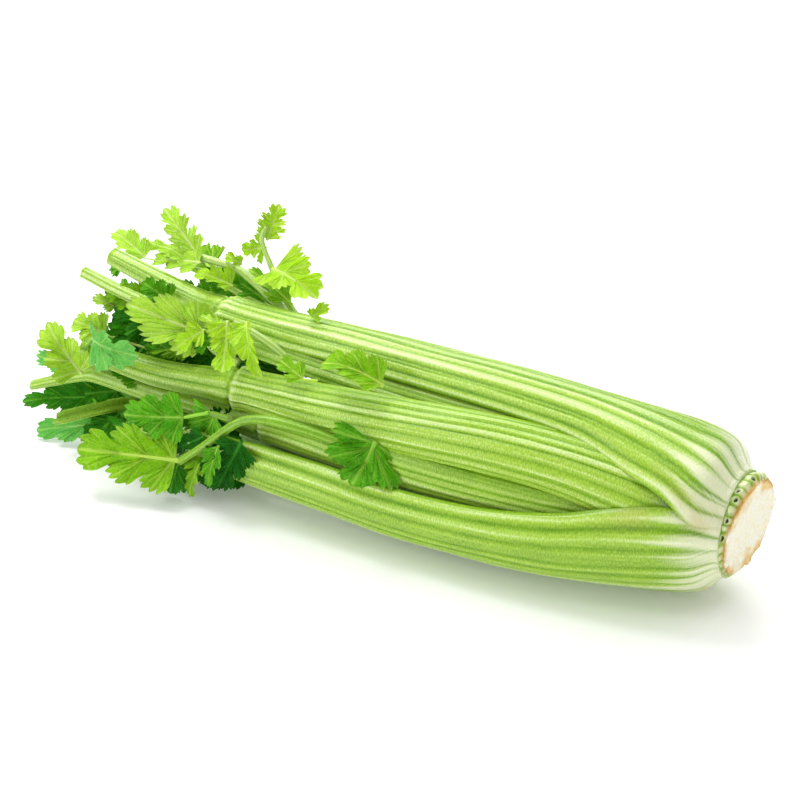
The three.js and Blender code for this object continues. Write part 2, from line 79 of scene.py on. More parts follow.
to_viewer = Vector((
    math.sin(VIEW_BEARING) * math.cos(VIEW_HEIGHT),
    -math.cos(VIEW_BEARING) * math.cos(VIEW_HEIGHT),
    math.sin(VIEW_HEIGHT),
))
camera = bpy.data.objects.new("camera", bpy.data.cameras.new("camera"))
camera.location = VIEW_TARGET + VIEW_DISTANCE * to_viewer
camera.rotation_euler = to_viewer.to_track_quat("Z", "Y").to_euler()
camera.data.lens = LENS
camera.data.sensor_width = SENSOR_WIDTH
bpy.context.scene.collection.objects.link(camera)
bpy.context.scene.camera = camera
print("camera at", [round(v, 3) for v in camera.location])

# %% [markdown]
# ## Writing shader maths as Python
# A material is a small network of nodes. Placing each node by hand is slow to read, so we make one class,
# Wire, that stands for a node's output and understands +, - and *: each operator adds one Math node. Their
# reflected forms let a plain number stand first, as in 1 - wire.

# %% Wires
class Wire:
    """The output of a node in a material. Sums and products of wires add Math nodes."""

    def __init__(self, finish, socket):
        self.finish = finish
        self.socket = socket

    def math(self, operation, first, second):
        return self.finish.node("ShaderNodeMath", {"operation": operation}, {0: first, 1: second})

    def __add__(self, other):
        return self.math("ADD", self, other)

    def __radd__(self, other):
        return self.math("ADD", other, self)

    def __sub__(self, other):
        return self.math("SUBTRACT", self, other)

    def __rsub__(self, other):
        return self.math("SUBTRACT", other, self)

    def __mul__(self, other):
        return self.math("MULTIPLY", self, other)

    def __rmul__(self, other):
        return self.math("MULTIPLY", other, self)

    def step(self, start, end):
        """0 before start and 1 past end, easing in between; start may be the higher of the two."""
        places = {"Value": self, "From Min": start, "From Max": end}
        return self.finish.node("ShaderNodeMapRange", {"interpolation_type": "SMOOTHSTEP"}, places)


print("a wire's methods:", [name for name, value in vars(Wire).items() if callable(value)])

# %% [markdown]
# A Finish is a material that is being built. Every node comes from its one method, node, which takes the
# node's type, then its settings, then what goes into its sockets. The others are short names for the nodes
# that plants need most. Colours are written as web colours, which are easy to compare side by side.

# %% Finishes
MIX_FACTOR, MIX_FIRST_COLOUR, MIX_SECOND_COLOUR, MIX_RESULT_COLOUR = 0, 6, 7, 2


class Finish:
    """A named material with one Principled shader, and the way to add nodes to it."""

    def __init__(self, name, **constants):
        self.material = bpy.data.materials.new(name)
        self.material.use_nodes = True
        self.tree = self.material.node_tree
        self.shader = self.tree.nodes["Principled BSDF"]
        self.paint(**constants)

    def node(self, kind, settings, sockets, output=0):
        made = self.tree.nodes.new(kind)
        for setting, value in settings.items():
            setattr(made, setting, value)
        for socket, value in sockets.items():
            self.feed(made.inputs[socket], value)
        return Wire(self, made.outputs[output])

    def feed(self, socket, value):
        if isinstance(value, Wire):
            self.tree.links.new(value.socket, socket)
        else:
            socket.default_value = value

    def paint(self, **looks):
        """Feed the shader's own sockets, so that Base_Color goes into Base Color."""
        for socket, value in looks.items():
            self.feed(self.shader.inputs[socket.replace("_", " ")], value)

    def mix(self, amount, first, second):
        """The first colour turning into the second as amount goes from 0 to 1."""
        sockets = {MIX_FACTOR: amount, MIX_FIRST_COLOUR: first, MIX_SECOND_COLOUR: second}
        return self.node("ShaderNodeMix", {"data_type": "RGBA"}, sockets, MIX_RESULT_COLOUR)

    def measured(self, name, output="Fac"):
        """A number, or with output="Vector" a place, that the mesh keeps for each of its points."""
        return self.node("ShaderNodeAttribute", {"attribute_name": name}, {}, output)

    def own_place(self):
        """The place in the piece itself, in metres, for patterns that run through its flesh."""
        return self.node("ShaderNodeTexCoord", {}, {}, "Object")

    def noise(self, place, scale, detail):
        """Soft mottling from 0 to 1, with scale in patches per metre."""
        sockets = {"Vector": place, "Scale": scale, "Detail": detail}
        return self.node("ShaderNodeTexNoise", {}, sockets, "Fac")

    def stretched(self, place, along, across):
        """A place on the skin, scaled differently along and across its grain."""
        sockets = {0: place, 1: (along, across, 1)}
        return self.node("ShaderNodeVectorMath", {"operation": "MULTIPLY"}, sockets)

    def bump(self, height, distance):
        self.paint(Normal=self.node("ShaderNodeBump", {}, {"Distance": distance, "Height": height}))


def colour(code):
    """A web colour such as '#b0d640' as the linear numbers that Blender works with."""
    shares = [int(code[i:i + 2], 16) / 255 for i in (1, 3, 5)]
    return [s / 12.92 if s <= 0.04045 else ((s + 0.055) / 1.055) ** 2.4 for s in shares] + [1]


print("celery green in linear numbers:", [round(v, 3) for v in colour("#b0d640")])

# %% [markdown]
# ## The stalks' skin
# A celery stalk is skinned with strings: pale, waxy, blunt ribs with thin, greener grooves between them.
# Their crests are painted whitish, partly the strings' own paleness and partly a painted sheen. The skin is
# finely pebbled crosswise, and it loses its green towards the root crown, the ribs first and the grooves
# last, with a tan tinge where a stalk's edge has dried. We could paint this as a picture, but each point of
# the mesh already knows its rib height and its distance from the crown, so the colours are worked out from
# those numbers and fit every stalk, however it bends.

# %% Stalk skin
CREST_PALENESS_AND_SHEEN, BLANCHED, DRIED = "#e4f5b4", "#eef2cc", "#cdb877"
BLANCHED_FROM, BLANCHED_TO = 0.030, 0.004
DRIED_FROM, DRIED_TO = 0.075, 0.01
PEBBLES_PER_METRE, STREAKS_PER_METRE, CLOUDS_PER_METRE = 1800, 800, 40
SKIN_RELIEF = 0.00025


def stalk_finish(name, ridge, groove, deep):
    """The waxy skin in three greens: of a rib, of a groove, and of the darker clouds in the grooves."""
    finish = Finish(name, Subsurface_Weight=0.2, Subsurface_Radius=(1.0, 1.0, 0.5), Subsurface_Scale=0.0012,
                    Specular_IOR_Level=0.22, Coat_Roughness=0.22)
    skin = finish.measured("skin", "Vector")
    from_crown = finish.node("ShaderNodeSeparateXYZ", {}, {0: skin}, "X")
    rib, pale, edge = finish.measured("rib"), finish.measured("pale"), finish.measured("edge")
    pebbles = finish.noise(finish.stretched(skin, 1.0, 0.3), PEBBLES_PER_METRE, 1).step(0.36, 0.64)
    streaks = finish.noise(finish.stretched(skin, 0.03, 1.0), STREAKS_PER_METRE, 3)
    clouds = finish.noise(skin, CLOUDS_PER_METRE, 3)

    relief = rib + pale + 0.5 * (streaks - 0.5)
    green = finish.mix(clouds.step(0.35, 0.7), colour(groove), colour(deep))
    base = finish.mix((relief + 0.35 * (pebbles - 0.5)).step(0.05, 1.25), green, colour(ridge))
    # painted highlight: the crests turn whitish from their rib height alone, partly the strings' own
    # paleness and partly a painted sheen
    crest = (relief + 0.3 * (pebbles - 0.5)).step(0.9, 1.6)
    base = finish.mix(crest * 0.75, base, colour(CREST_PALENESS_AND_SHEEN))
    blanched = (from_crown + 0.028 * (1 - rib) - 0.02 * pale + 0.03 * (streaks - 0.5)).step(
        BLANCHED_FROM, BLANCHED_TO)
    base = finish.mix(blanched * 0.95, base, colour(BLANCHED))
    dried = edge.step(0.55, 0.95) * from_crown.step(DRIED_FROM, DRIED_TO) * clouds.step(0.4, 0.62)
    base = finish.mix(dried * 0.45, base, colour(DRIED))
    finish.paint(Base_Color=base, Roughness=0.4 - 0.14 * streaks + 0.1 * pebbles, Coat_Weight=rib * 0.65)
    finish.bump(pebbles * 0.6 + streaks * 0.4, SKIN_RELIEF)
    return finish.material


stalk_skin = stalk_finish("waxy_ribbed_skin", "#b0d640", "#70a400", "#5c9400")
heart_skin = stalk_finish("young_stalk_skin", "#b2d654", "#82b40e", "#6aa006")
print("skins:", stalk_skin.name, heart_skin.name)

# %% [markdown]
# Where a stalk or a stem is cut through, its flesh is matt, wet and paler than the skin, with darker cells.

# %% Cut flesh
CELLS_PER_METRE = 900

cut = Finish("cut_stalk_flesh", Roughness=0.55, Subsurface_Weight=0.2, Subsurface_Scale=0.002)
cut_cells = cut.noise(cut.own_place(), CELLS_PER_METRE, 3).step(0.35, 0.7)
cut.paint(Base_Color=cut.mix(cut_cells, colour("#cbdb98"), colour("#a8c763")))
cut_flesh = cut.material
print("cut flesh:", cut_flesh.name)

# %% [markdown]
# ## Reading a table smoothly
# Each stalk is described by a short table: a few places along it, with its position, width, bow and
# thickness there. Cubic curves through the rows give every place between them, which keeps the tables short
# enough to edit by hand.

# %% Table reading
def read_rows(rows, places):
    """Values at these places, read smoothly between rows whose first column runs steadily down."""
    rows = np.array(rows, float)
    x = rows[:, 0]
    slopes = np.empty_like(rows)
    slopes[1:-1] = (rows[2:] - rows[:-2]) / (x[2:] - x[:-2])[:, None]
    slopes[0] = (rows[1] - rows[0]) / (x[1] - x[0])
    slopes[-1] = (rows[-1] - rows[-2]) / (x[-1] - x[-2])
    k = np.clip(np.searchsorted(-x, -places, side="right") - 1, 0, len(rows) - 2)
    span = (x[k + 1] - x[k])[:, None]
    t = np.clip((places - x[k])[:, None] / span, 0, 1)
    return (rows[k] * (1 + 2 * t) * (1 - t) ** 2 + rows[k + 1] * t * t * (3 - 2 * t)
            + span * (slopes[k] * t * (1 - t) ** 2 - slopes[k + 1] * t * t * (1 - t)))


def ease(value, start, end):
    """0 before start, 1 after end, with no corner in between."""
    t = np.clip((value - start) / (end - start), 0, 1)
    return t * t * (3 - 2 * t)


between = read_rows([(9, 0), (6, 4), (0, 5)], np.array([8.0]))[0]
print("a third of the way from row (9, 0) to row (6, 4):", between.round(2))

# %% [markdown]
# ## Making a piece
# All the pieces are meshes that we work out as arrays of points. One helper turns the arrays into a Blender
# object, stores the numbers that its finish reads, and ties it to the frame: it rides on the frame's only
# body, and where it stands for a plain solid of the frame, that solid is hidden. A second helper lists the
# faces of rows of points that close into a tube, because stalks, stems, midribs and the crown are all tubes.

# %% Piece helpers
def make_piece(name, points, faces, finishes, numbers, flat_ends=0, node=None):
    """A smooth piece, whose last flat_ends faces are flat and take the second finish."""
    points = np.reshape(points, (-1, 3))
    mesh = bpy.data.meshes.new(name)
    mesh.from_pydata(metres(points).tolist(), [], faces)
    mesh.shade_smooth()
    for finish in finishes:
        mesh.materials.append(finish)
    for key, values in numbers.items():
        values = np.reshape(values, (len(points), -1)).astype(np.float32)
        kind, field = ("FLOAT", "value") if values.shape[1] == 1 else ("FLOAT_VECTOR", "vector")
        mesh.attributes.new(key, kind, "POINT").data.foreach_set(field, values.ravel())
    for polygon in mesh.polygons[len(faces) - flat_ends:]:
        polygon.material_index = 1
        polygon.use_smooth = False
    piece = bpy.data.objects.new(name, mesh)
    bpy.context.scene.collection.objects.link(piece)
    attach(piece, "root")
    if node:
        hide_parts(node)
    return piece


def tube_faces(rows, columns, first=0):
    """The faces of a tube whose rows of points start at number first, its two flat ends last."""
    row = np.arange(rows - 1)[:, None] * columns + first
    column = np.arange(columns)[None, :]
    beside = (column + 1) % columns
    corners = [row + column, row + columns + column, row + columns + beside, row + beside]
    last = first + (rows - 1) * columns
    near_end = list(range(first, first + columns))
    far_end = list(range(last + columns - 1, last - 1, -1))
    return np.stack(corners, -1).reshape(-1, 4).tolist() + [near_end, far_end]


print("a tube of 3 rings of 4 points has", len(tube_faces(3, 4)), "faces")

# %% [markdown]
# ## The stalks
# A stalk is a trough: crescent-shaped in section, broad and thin where it clasps the crown, thicker and
# rounder further up, and past its joint a narrower leaf stem. A curve with a bevel can't widen into that
# clasping base, so each stalk is lofted from its own table. Its ring rows say where the stalk is by an angle
# round the head's axis and a reach from it; its tail rows, past the joint, leave the ring and give a place.
# We begin with four of the eight outermost stalks, those on top, in front and beneath.

# %% Stalks on top and in front
BASE_X = 192
# ring rows: x, angle round the head's axis, reach from it, half width, bow, thickness amid and at the edge.
# tail rows: x, y, z from the axis, the way its outer face looks, then the same four.
STALKS = {
    "stalk_top": {
        "ring": [
            [BASE_X, 8, 26.5, 23, 15, 3, 1],
            [184, 8, 36.5, 32, 19, 5, 1],
            [170, 7, 41, 31, 14, 6.5, 1],
            [148, 5, 45, 26.5, 14.5, 7.5, 1.2],
            [120, 3, 47.5, 20, 13.5, 8, 2],
            [85, 2, 48.5, 17.5, 13, 8, 3],
            [40, 1, 48.5, 16.5, 12.5, 8, 3.5],
            [-10, 0, 48.5, 16, 12, 8, 3.5],
            [-45, 0, 48, 15, 11.5, 8, 3.5],
            [-82, -2, 47, 12.5, 9.5, 8, 3],
        ],
        "tail": [
            [-90, 2, 46.5, -2, 12, 9.5, 10, 3],
            [-98, 3, 46, 0, 9.5, 9, 11.5, 3.5],
            [-125, 5, 49.5, 5, 8, 8, 11, 3.5],
            [-158, 6, 56, 8, 6.4, 6.4, 9.5, 3.5],
        ],
    },
    "stalk_front": {
        "ring": [
            [BASE_X, 114, 26, 20, 10, 3, 1],
            [184, 113, 33.5, 27.5, 15, 5, 1],
            [170, 112, 39, 29, 15.5, 6.5, 1.2],
            [148, 112, 45.5, 26, 16.5, 7.5, 1.6],
            [120, 113, 51.5, 21, 15.5, 8, 2.5],
            [85, 114, 55, 18, 14, 8, 3],
            [40, 115, 55.8, 17, 13.5, 8, 3.5],
            [0, 113, 54.5, 16.5, 13, 8, 3.5],
            [-40, 112, 52.5, 15, 11.6, 8, 3.5],
            [-75, 112, 50, 12, 9.5, 7, 3],
        ],
        "tail": [
            [-84, -46, -20, 112, 11, 9, 9, 3],
            [-92, -44, -21, 112, 6.5, 7, 9, 3],
            [-120, -40, -22, 110, 5.5, 6, 9, 3],
        ],
    },
    "stalk_front_upper": {
        "ring": [
            [BASE_X, 60, 22, 15, 6, 3, 1],
            [184, 58, 29.5, 20, 8.5, 4.5, 1],
            [170, 54, 34, 22, 11, 6, 1.2],
            [148, 51, 40, 18.5, 12, 7, 1.8],
            [120, 49, 44, 16, 12, 7.5, 2.5],
            [85, 50, 46.5, 15, 11.5, 7.5, 3],
            [40, 54, 46, 14, 10.5, 7.5, 3.2],
            [-10, 58, 43, 13, 10, 7.5, 3.2],
            [-50, 59, 39, 11, 8.8, 7.5, 3.2],
        ],
        "tail": [
            [-66, -31, 18, 59, 10.6, 8.8, 10, 3],
            [-76, -31, 17, 58, 9, 8, 10, 3.2],
            [-110, -31.5, 15, 55, 7.6, 7, 9.5, 3.2],
            [-152, -32, 19, 50, 6.8, 6.6, 9, 3.2],
        ],
    },
    "stalk_under": {
        "ring": [
            [BASE_X, 200, 26, 19, 9.5, 3, 1],
            [184, 200, 34.5, 26, 13, 5, 1],
            [170, 201, 39, 25, 12, 6.5, 1.2],
            [148, 202, 42.5, 21, 12.5, 7.5, 1.6],
            [120, 203, 44, 18, 12.5, 8, 2.5],
            [85, 204, 44.5, 16.5, 12, 8, 3],
            [40, 204, 44.5, 15.5, 11.5, 8, 3.5],
            [-10, 204, 44, 15, 11, 8, 3.5],
            [-50, 203, 43, 13.5, 10.5, 8, 3.5],
            [-85, 202, 41.5, 11, 9, 7, 3],
        ],
        "tail": [
            [-94, 14, -37, 200, 10, 8, 9, 3],
            [-102, 13, -36.5, 200, 6, 6.5, 8.5, 2.5],
            [-119, 5, -31, 200, 5.4, 5.5, 7.8, 2.2],
            [-138, -12, -23, 200, 5.4, 5.5, 7.8, 2.2],
            [-162, -40, -25, 200, 5.6, 5, 7.4, 2.2],
        ],
    },
}
print("stalks so far:", ", ".join(STALKS))

# %% [markdown]
# The other four outermost stalks close the ring, behind and lower down. Less of them shows, but they carry
# the head's outline when it is turned, so they have just as many rows.

# %% Stalks behind and lower down
STALKS |= {
    "stalk_back": {
        "ring": [
            [BASE_X, 283, 26, 19, 9.5, 3, 1],
            [184, 284, 34.5, 27, 13.5, 5, 1],
            [170, 285, 39, 27, 13.5, 6.5, 1.2],
            [148, 286, 44, 23, 14.5, 7.5, 1.6],
            [120, 286, 48, 19, 13.5, 8, 2.5],
            [85, 286, 50, 17, 13, 8, 3],
            [40, 286, 51, 16, 12.5, 8, 3.5],
            [-10, 284, 51, 15, 12, 8, 3.5],
            [-50, 282, 49, 13.5, 10.5, 8, 3.5],
            [-75, 280, 47, 11, 9, 7, 3],
        ],
        "tail": [
            [-84, 45, 8, 280, 10, 8, 9, 3],
            [-92, 44, 9, 282, 6, 6.5, 9, 3],
            [-125, 43, 12, 290, 5, 5.5, 9, 3],
        ],
    },
    "stalk_front_under": {
        "ring": [
            [BASE_X, 157, 22, 14, 5.5, 3, 1],
            [184, 157, 29.5, 19, 7.5, 4.5, 1],
            [170, 157, 33.5, 20, 9, 6, 1.2],
            [148, 157, 38, 17, 10, 7, 1.8],
            [120, 157, 42, 15, 10.5, 7.5, 2.5],
            [85, 157, 44, 14, 10.5, 7.5, 3],
            [40, 157, 44.5, 13.5, 10, 7.5, 3.2],
            [-10, 157, 44.5, 13, 10, 7.5, 3.2],
            [-50, 158, 43.5, 12, 9, 7.5, 3.2],
            [-80, 159, 42, 10.5, 8.5, 7, 3],
        ],
        "tail": [
            [-90, -14, -37, 160, 9.5, 8, 9, 3],
            [-98, -13, -36.5, 165, 6, 6.5, 9, 3],
            [-125, -13, -36.5, 168, 5, 5.5, 8.5, 3],
        ],
    },
    "stalk_back_under": {
        "ring": [
            [BASE_X, 244, 22, 14, 5.5, 3, 1],
            [184, 244, 29.5, 19, 7.5, 4.5, 1],
            [170, 244, 33.5, 20, 9, 6, 1.2],
            [148, 245, 38, 17, 10, 7, 1.8],
            [120, 246, 43, 14.5, 10, 7.5, 2.5],
            [85, 246, 45, 13.5, 10, 7.5, 3],
            [40, 246, 46, 13, 10, 7.5, 3.2],
            [-10, 245, 46, 12.5, 9.5, 7.5, 3.2],
            [-50, 244, 44, 11.5, 9, 7.5, 3.2],
        ],
        "tail": [
            [-64, 38, -19, 244, 9, 8, 9, 3],
            [-72, 37, -19, 244, 5.5, 6, 8, 3],
            [-115, 34, -24, 235, 4.5, 5, 7.5, 3],
        ],
    },
    "stalk_back_upper": {
        "ring": [
            [BASE_X, 328, 22, 14, 5.5, 3, 1],
            [184, 328, 29.5, 19, 7.5, 4.5, 1],
            [170, 328, 34, 20, 9, 6, 1.2],
            [148, 327, 39, 17, 10.5, 7, 1.8],
            [120, 326, 43, 14.5, 10.5, 7.5, 2.5],
            [85, 325, 45, 13.5, 10.5, 7.5, 3],
            [40, 325, 45.5, 13, 10, 7.5, 3.2],
            [-10, 325, 45, 12.5, 9.5, 7.5, 3.2],
            [-50, 325, 43, 11, 9, 7.5, 3.2],
        ],
        "tail": [
            [-64, 24, 36, 325, 9, 8, 9, 3],
            [-72, 24, 37, 325, 5.5, 6, 8, 3],
            [-110, 26, 47, 330, 4.5, 5, 7.5, 3],
        ],
    },
}
print("outermost stalks:", ", ".join(STALKS))

# %% [markdown]
# Inside them a second ring of four narrower stalks is turned against the first, so that each fills a gap,
# and in the middle are two young stalks, the heart. Little of them shows, but it is what the eye finds when
# it looks between the outer ones.

# %% Inner stalks and heart
STALKS |= {
    "inner_top": {
        "ring": [
            [BASE_X, 25, 18.5, 9, 2.7, 2.6, 1],
            [184, 25, 24.5, 13, 4.5, 4, 1],
            [150, 25, 32, 14, 8, 5.5, 1.6],
            [110, 26, 37, 12, 9, 6, 2.4],
            [50, 24, 37, 10, 8, 6, 2.6],
            [0, 22, 37.5, 9, 7.5, 6, 2.6],
            [-60, 18, 40, 8, 7, 6, 2.6],
        ],
        "tail": [
            [-72, -12, 40, 15, 7.5, 6.5, 7.5, 2.6],
            [-80, -11.5, 39.5, 15, 5, 5.5, 7, 2.6],
            [-132, -10, 43, 15, 4.2, 4.8, 7, 2.6],
            [-165, -10, 50, 15, 3.8, 4.2, 7, 2.6],
        ],
    },
    "inner_front": {
        "ring": [
            [BASE_X, 92, 18.5, 9, 2.7, 2.6, 1],
            [184, 92, 24.5, 13, 4.5, 4, 1],
            [150, 90, 31, 14, 8, 5.5, 1.6],
            [110, 88, 38.5, 12, 9, 6, 2.4],
            [50, 87, 42, 12.5, 9, 6, 2.6],
            [0, 85, 41, 12, 8.5, 6, 2.6],
        ],
        "tail": [
            [-50, -33, 0, 86, 9.5, 7.5, 6.5, 2.6],
            [-62, -31, -2, 86, 8, 7, 7.5, 2.6],
            [-70, -29.5, -2.5, 86, 6, 5.8, 7.5, 2.6],
            [-110, -29.5, -1, 80, 5.6, 5.4, 7.5, 2.6],
            [-148, -30, 2, 70, 5.2, 5, 7.2, 2.6],
            [-156, -30, -0.5, 70, 4, 4.2, 6.6, 2.4],
            [-189, -31, -14, 70, 3.2, 3.4, 5.6, 2],
        ],
    },
    "inner_under": {
        "ring": [
            [BASE_X, 180, 18.5, 9, 2.7, 2.6, 1],
            [184, 180, 24.5, 13, 4.5, 4, 1],
            [150, 180, 29, 13, 7.5, 5.5, 1.6],
            [110, 180, 30, 11, 8, 6, 2.4],
            [50, 180, 30, 10.5, 8, 6, 2.6],
            [-20, 180, 29, 9.5, 7.5, 6, 2.6],
            [-70, 180, 26, 7.5, 6, 6, 2.6],
        ],
        "tail": [
            [-120, 2, -18, 180, 4.5, 5, 6.5, 2.6],
        ],
    },
    "inner_back": {
        "ring": [
            [BASE_X, 288, 18.5, 9, 2.7, 2.6, 1],
            [184, 288, 24.5, 13, 4.5, 4, 1],
            [150, 288, 30, 14, 8, 5.5, 1.6],
            [110, 288, 34, 12, 9, 6, 2.4],
            [50, 288, 35, 10.5, 8, 6, 2.6],
            [-20, 288, 34, 9.5, 7.5, 6, 2.6],
            [-60, 288, 31, 7.5, 6, 6, 2.6],
        ],
        "tail": [
            [-110, 25, 20, 300, 4.2, 4.6, 6.5, 2.6],
        ],
    },
    "heart_front": {
        "ring": [
            [BASE_X, 100, 15, 5, 1.6, 2, 0.8],
            [150, 100, 23, 10, 6, 4, 1.4],
            [90, 95, 23, 9, 7, 4.5, 2],
            [0, 80, 20, 7.5, 6, 4.5, 2],
            [-70, 60, 18, 5.5, 5, 4.5, 2],
        ],
        "tail": [
            [-105, -8, 10, 60, 3.5, 4, 5, 2],
        ],
    },
    "heart_back": {
        "ring": [
            [BASE_X, 260, 15, 5, 1.6, 2, 0.8],
            [150, 265, 22, 10, 6, 4, 1.4],
            [90, 270, 20, 9, 7, 4.5, 2],
            [0, 280, 16, 7.5, 6, 4.5, 2],
            [-80, 290, 14, 5, 4.6, 4.5, 2],
        ],
        "tail": [
            [-110, 10, 4, 290, 3.2, 3.6, 5, 2],
        ],
    },
}
print("stalks in all:", len(STALKS))

# %% [markdown]
# Eight ribs, not quite evenly spaced, run along a stalk's outer face. Real ribs are never ruled lines, so we
# let them wander a little along its length and vary in width and sharpness, from a seeded table of waves.
# No two stalks match, and every run gives the same head. Two fine lines run along each rib as well.

# %% Ribs
RIBS = {"stalk": 8, "stem": 5}
RIB_DEPTH = {"stalk": 1.15, "stem": 0.45}
RIB_WIDTHS, CREST_BLUNTNESS, GROOVE_HEIGHTS, RIB_TONES = (0.65, 1.4), (0.45, 0.95), (0.1, 0.45), (-0.3, 0.3)
LINES_ON_RIB, LINE_PLACES, LINE_WIDTH, LINE_RISE = 2, (0.25, 0.75), 0.07, (-0.35, 0.3)
BEADING, BEAD_LENGTH, TALLEST_RIB = 0.4, 13, 1.4
WAVES = ((0.8, 160), (1.9, 90), (3.1, 60))
WANDER = 0.012
A_TURN = 6.28


def waves(seed, u, x):
    """A slow, seeded unevenness over a stalk, about -1 to 1, from u across it and x along it."""
    draw = np.random.default_rng(seed)
    total = 0
    for turns_across, length in WAVES:
        start = draw.uniform(0, A_TURN)
        total = total + np.sin(turns_across * math.pi * u + 2 * math.pi * x / length + start)
    return total / len(WAVES)


def rib_height(u, x, seed, ribs):
    """The skin's height, 1 on the rounded crests of ribs and low between them, and each rib's paleness."""
    draw = np.random.default_rng(seed + 3)
    edges = np.concatenate([[0], np.cumsum(draw.uniform(*RIB_WIDTHS, ribs))])
    edges = edges / edges[-1] * 2 - 1
    across = u + WANDER * waves(seed, u, x)
    place = np.clip(np.interp(across, edges, np.arange(ribs + 1)), 0, ribs - 0.001)
    rib = place.astype(int)
    within = place - rib
    crest = np.sin(math.pi * within) ** draw.uniform(*CREST_BLUNTNESS, ribs)[rib]
    groove = draw.uniform(*GROOVE_HEIGHTS, ribs + 1)
    groove = groove[rib] * (1 - within) + groove[rib + 1] * within
    height = groove + (1 - groove) * crest
    for line in draw.uniform(*LINE_PLACES, ribs * LINES_ON_RIB).reshape(LINES_ON_RIB, ribs):
        rise = draw.uniform(*LINE_RISE, ribs)[rib]
        beads = 1 + BEADING * np.sin(x / BEAD_LENGTH + rib)
        height = height + rise * np.exp(-((within - line[rib]) / LINE_WIDTH) ** 2) * beads
    tones = draw.uniform(*RIB_TONES, ribs)
    return np.clip(height, 0, TALLEST_RIB), tones[rib] * np.sin(math.pi * within)


sample = rib_height(np.linspace(-1, 1, 9)[None, :], np.zeros((1, 1)), 0, RIBS["stalk"])[0]
print("rib heights across a stalk:", sample.round(2)[0])

# %% [markdown]
# At the joint the ribs stop and fewer, blunter ones begin. The joint itself is a narrow notch round the
# stalk, with a pale, swollen collar on the crown's side of it. The next helper adds all of that up into how
# deep each point of the outer face lies below the section that the table gives.

# %% Joints
JOINT_BEFORE_TAIL, JOINT_BOW = 3, 1.5
NOTCH = {"depth": 1.5, "width": 1.3}
COLLAR = {"height": 0.7, "middle": 4, "width": 3.5}
PALE_COLLAR = {"paleness": 0.5, "middle": 2.5, "width": 2}
STEM_INSET = 0.35
RIBS_DEEPEN = (170, 120)
SHALLOWER_AT_EDGE, UNEVENNESS, EDGE_ROUNDING = 0.6, 0.25, 0.35


def bump_at(line, middle, width):
    """A smooth rise to 1 where the line is at its middle."""
    return np.exp(-((line - middle) / width) ** 2)


def outer_face(u, x, edge, joint, seed):
    """The rib height, the paleness and the depth below the section in mm, at u across and x along."""
    rib, pale = rib_height(u, x, seed, RIBS["stalk"])
    depth = RIB_DEPTH["stalk"] * (0.7 + 0.3 * ease(x, *RIBS_DEEPEN))
    carve = np.zeros_like(rib)
    if joint is not None:
        line = x - joint - JOINT_BOW * (1 - u ** 2)
        on_stem = ease(line, 1, -1)
        stem_rib, stem_pale = rib_height(u, x, seed + 1, RIBS["stem"])
        rib, pale = rib + (stem_rib - rib) * on_stem, pale + (stem_pale - pale) * on_stem
        depth = depth + (RIB_DEPTH["stem"] - depth) * on_stem
        pale = pale + PALE_COLLAR["paleness"] * bump_at(line, PALE_COLLAR["middle"], PALE_COLLAR["width"])
        carve = (NOTCH["depth"] * bump_at(line, 0, NOTCH["width"])
                 - COLLAR["height"] * bump_at(line, COLLAR["middle"], COLLAR["width"])
                 + STEM_INSET * on_stem)
    grooves = depth * (1 - rib) * (1 - SHALLOWER_AT_EDGE * np.abs(u) ** 6)
    carve = carve + grooves + UNEVENNESS * waves(seed + 7, u, x)
    return rib, pale, carve + EDGE_ROUNDING * edge * ease(np.abs(u), 0.9, 1)


print("deepest notch of a joint:", NOTCH["depth"], "mm, collar", COLLAR["height"], "mm high")

# %% [markdown]
# A loft needs rows of points that are close together where the shape changes fast, at the joint and where
# the base clasps the crown, and may be further apart elsewhere. The broad end of the table gets a blunt,
# rounded lip of its own, just behind the crown.

# %% Rows along a stalk
STEPS = {"base": 1.5, "middle": 2.8, "joint": 0.6}
BASE_ENDS, JOINT_REACH = 145, 9
LIP_LENGTH = 2.4
LIP = np.array([1, 0.975, 0.975, 1, 0.98, 0.98, 0.5, 0.6])


def stalk_rows(table):
    """All rows of a table in the form of its tail rows, from the lip to the far end."""
    rows = [[x, -reach * math.sin(math.radians(angle)), reach * math.cos(math.radians(angle)), angle, *shape]
            for x, angle, reach, *shape in table["ring"]] + table["tail"]
    return [np.array(rows[0]) * LIP + [LIP_LENGTH, 0, 0, 0, 0, 0, 0, 0]] + rows


def stations(rows, joint):
    """Places along a stalk: close together at its joint and where its base clasps the crown."""
    places = [rows[0][0]]
    while places[-1] > rows[-1][0] + STEPS["middle"] / 2:
        x = places[-1]
        at_joint = joint is not None and abs(x - joint) < JOINT_REACH
        places.append(x - STEPS["joint" if at_joint else "base" if x > BASE_ENDS else "middle"])
    places[-1] = rows[-1][0]
    return np.array(places)


print("rows of points along heart_back:", len(stations(stalk_rows(STALKS["heart_back"]), None)))

# %% [markdown]
# Now the loft. Half width and bow give the radius of the arc that a section follows; u runs across its outer
# face and v back across its inner one. The lowest points are pressed flat where they would sink into the
# table. The skin coordinates measure the way from the crown and round the arc, for the pebbles and streaks.

# %% Build the stalks
POINTS_ACROSS = {"outermost": 105, "inner": 61, "inside": 15}
INSIDE_RIB, INSIDE_ROUNDING = 0.45, 0.3
SEED_SPACING = 0.37


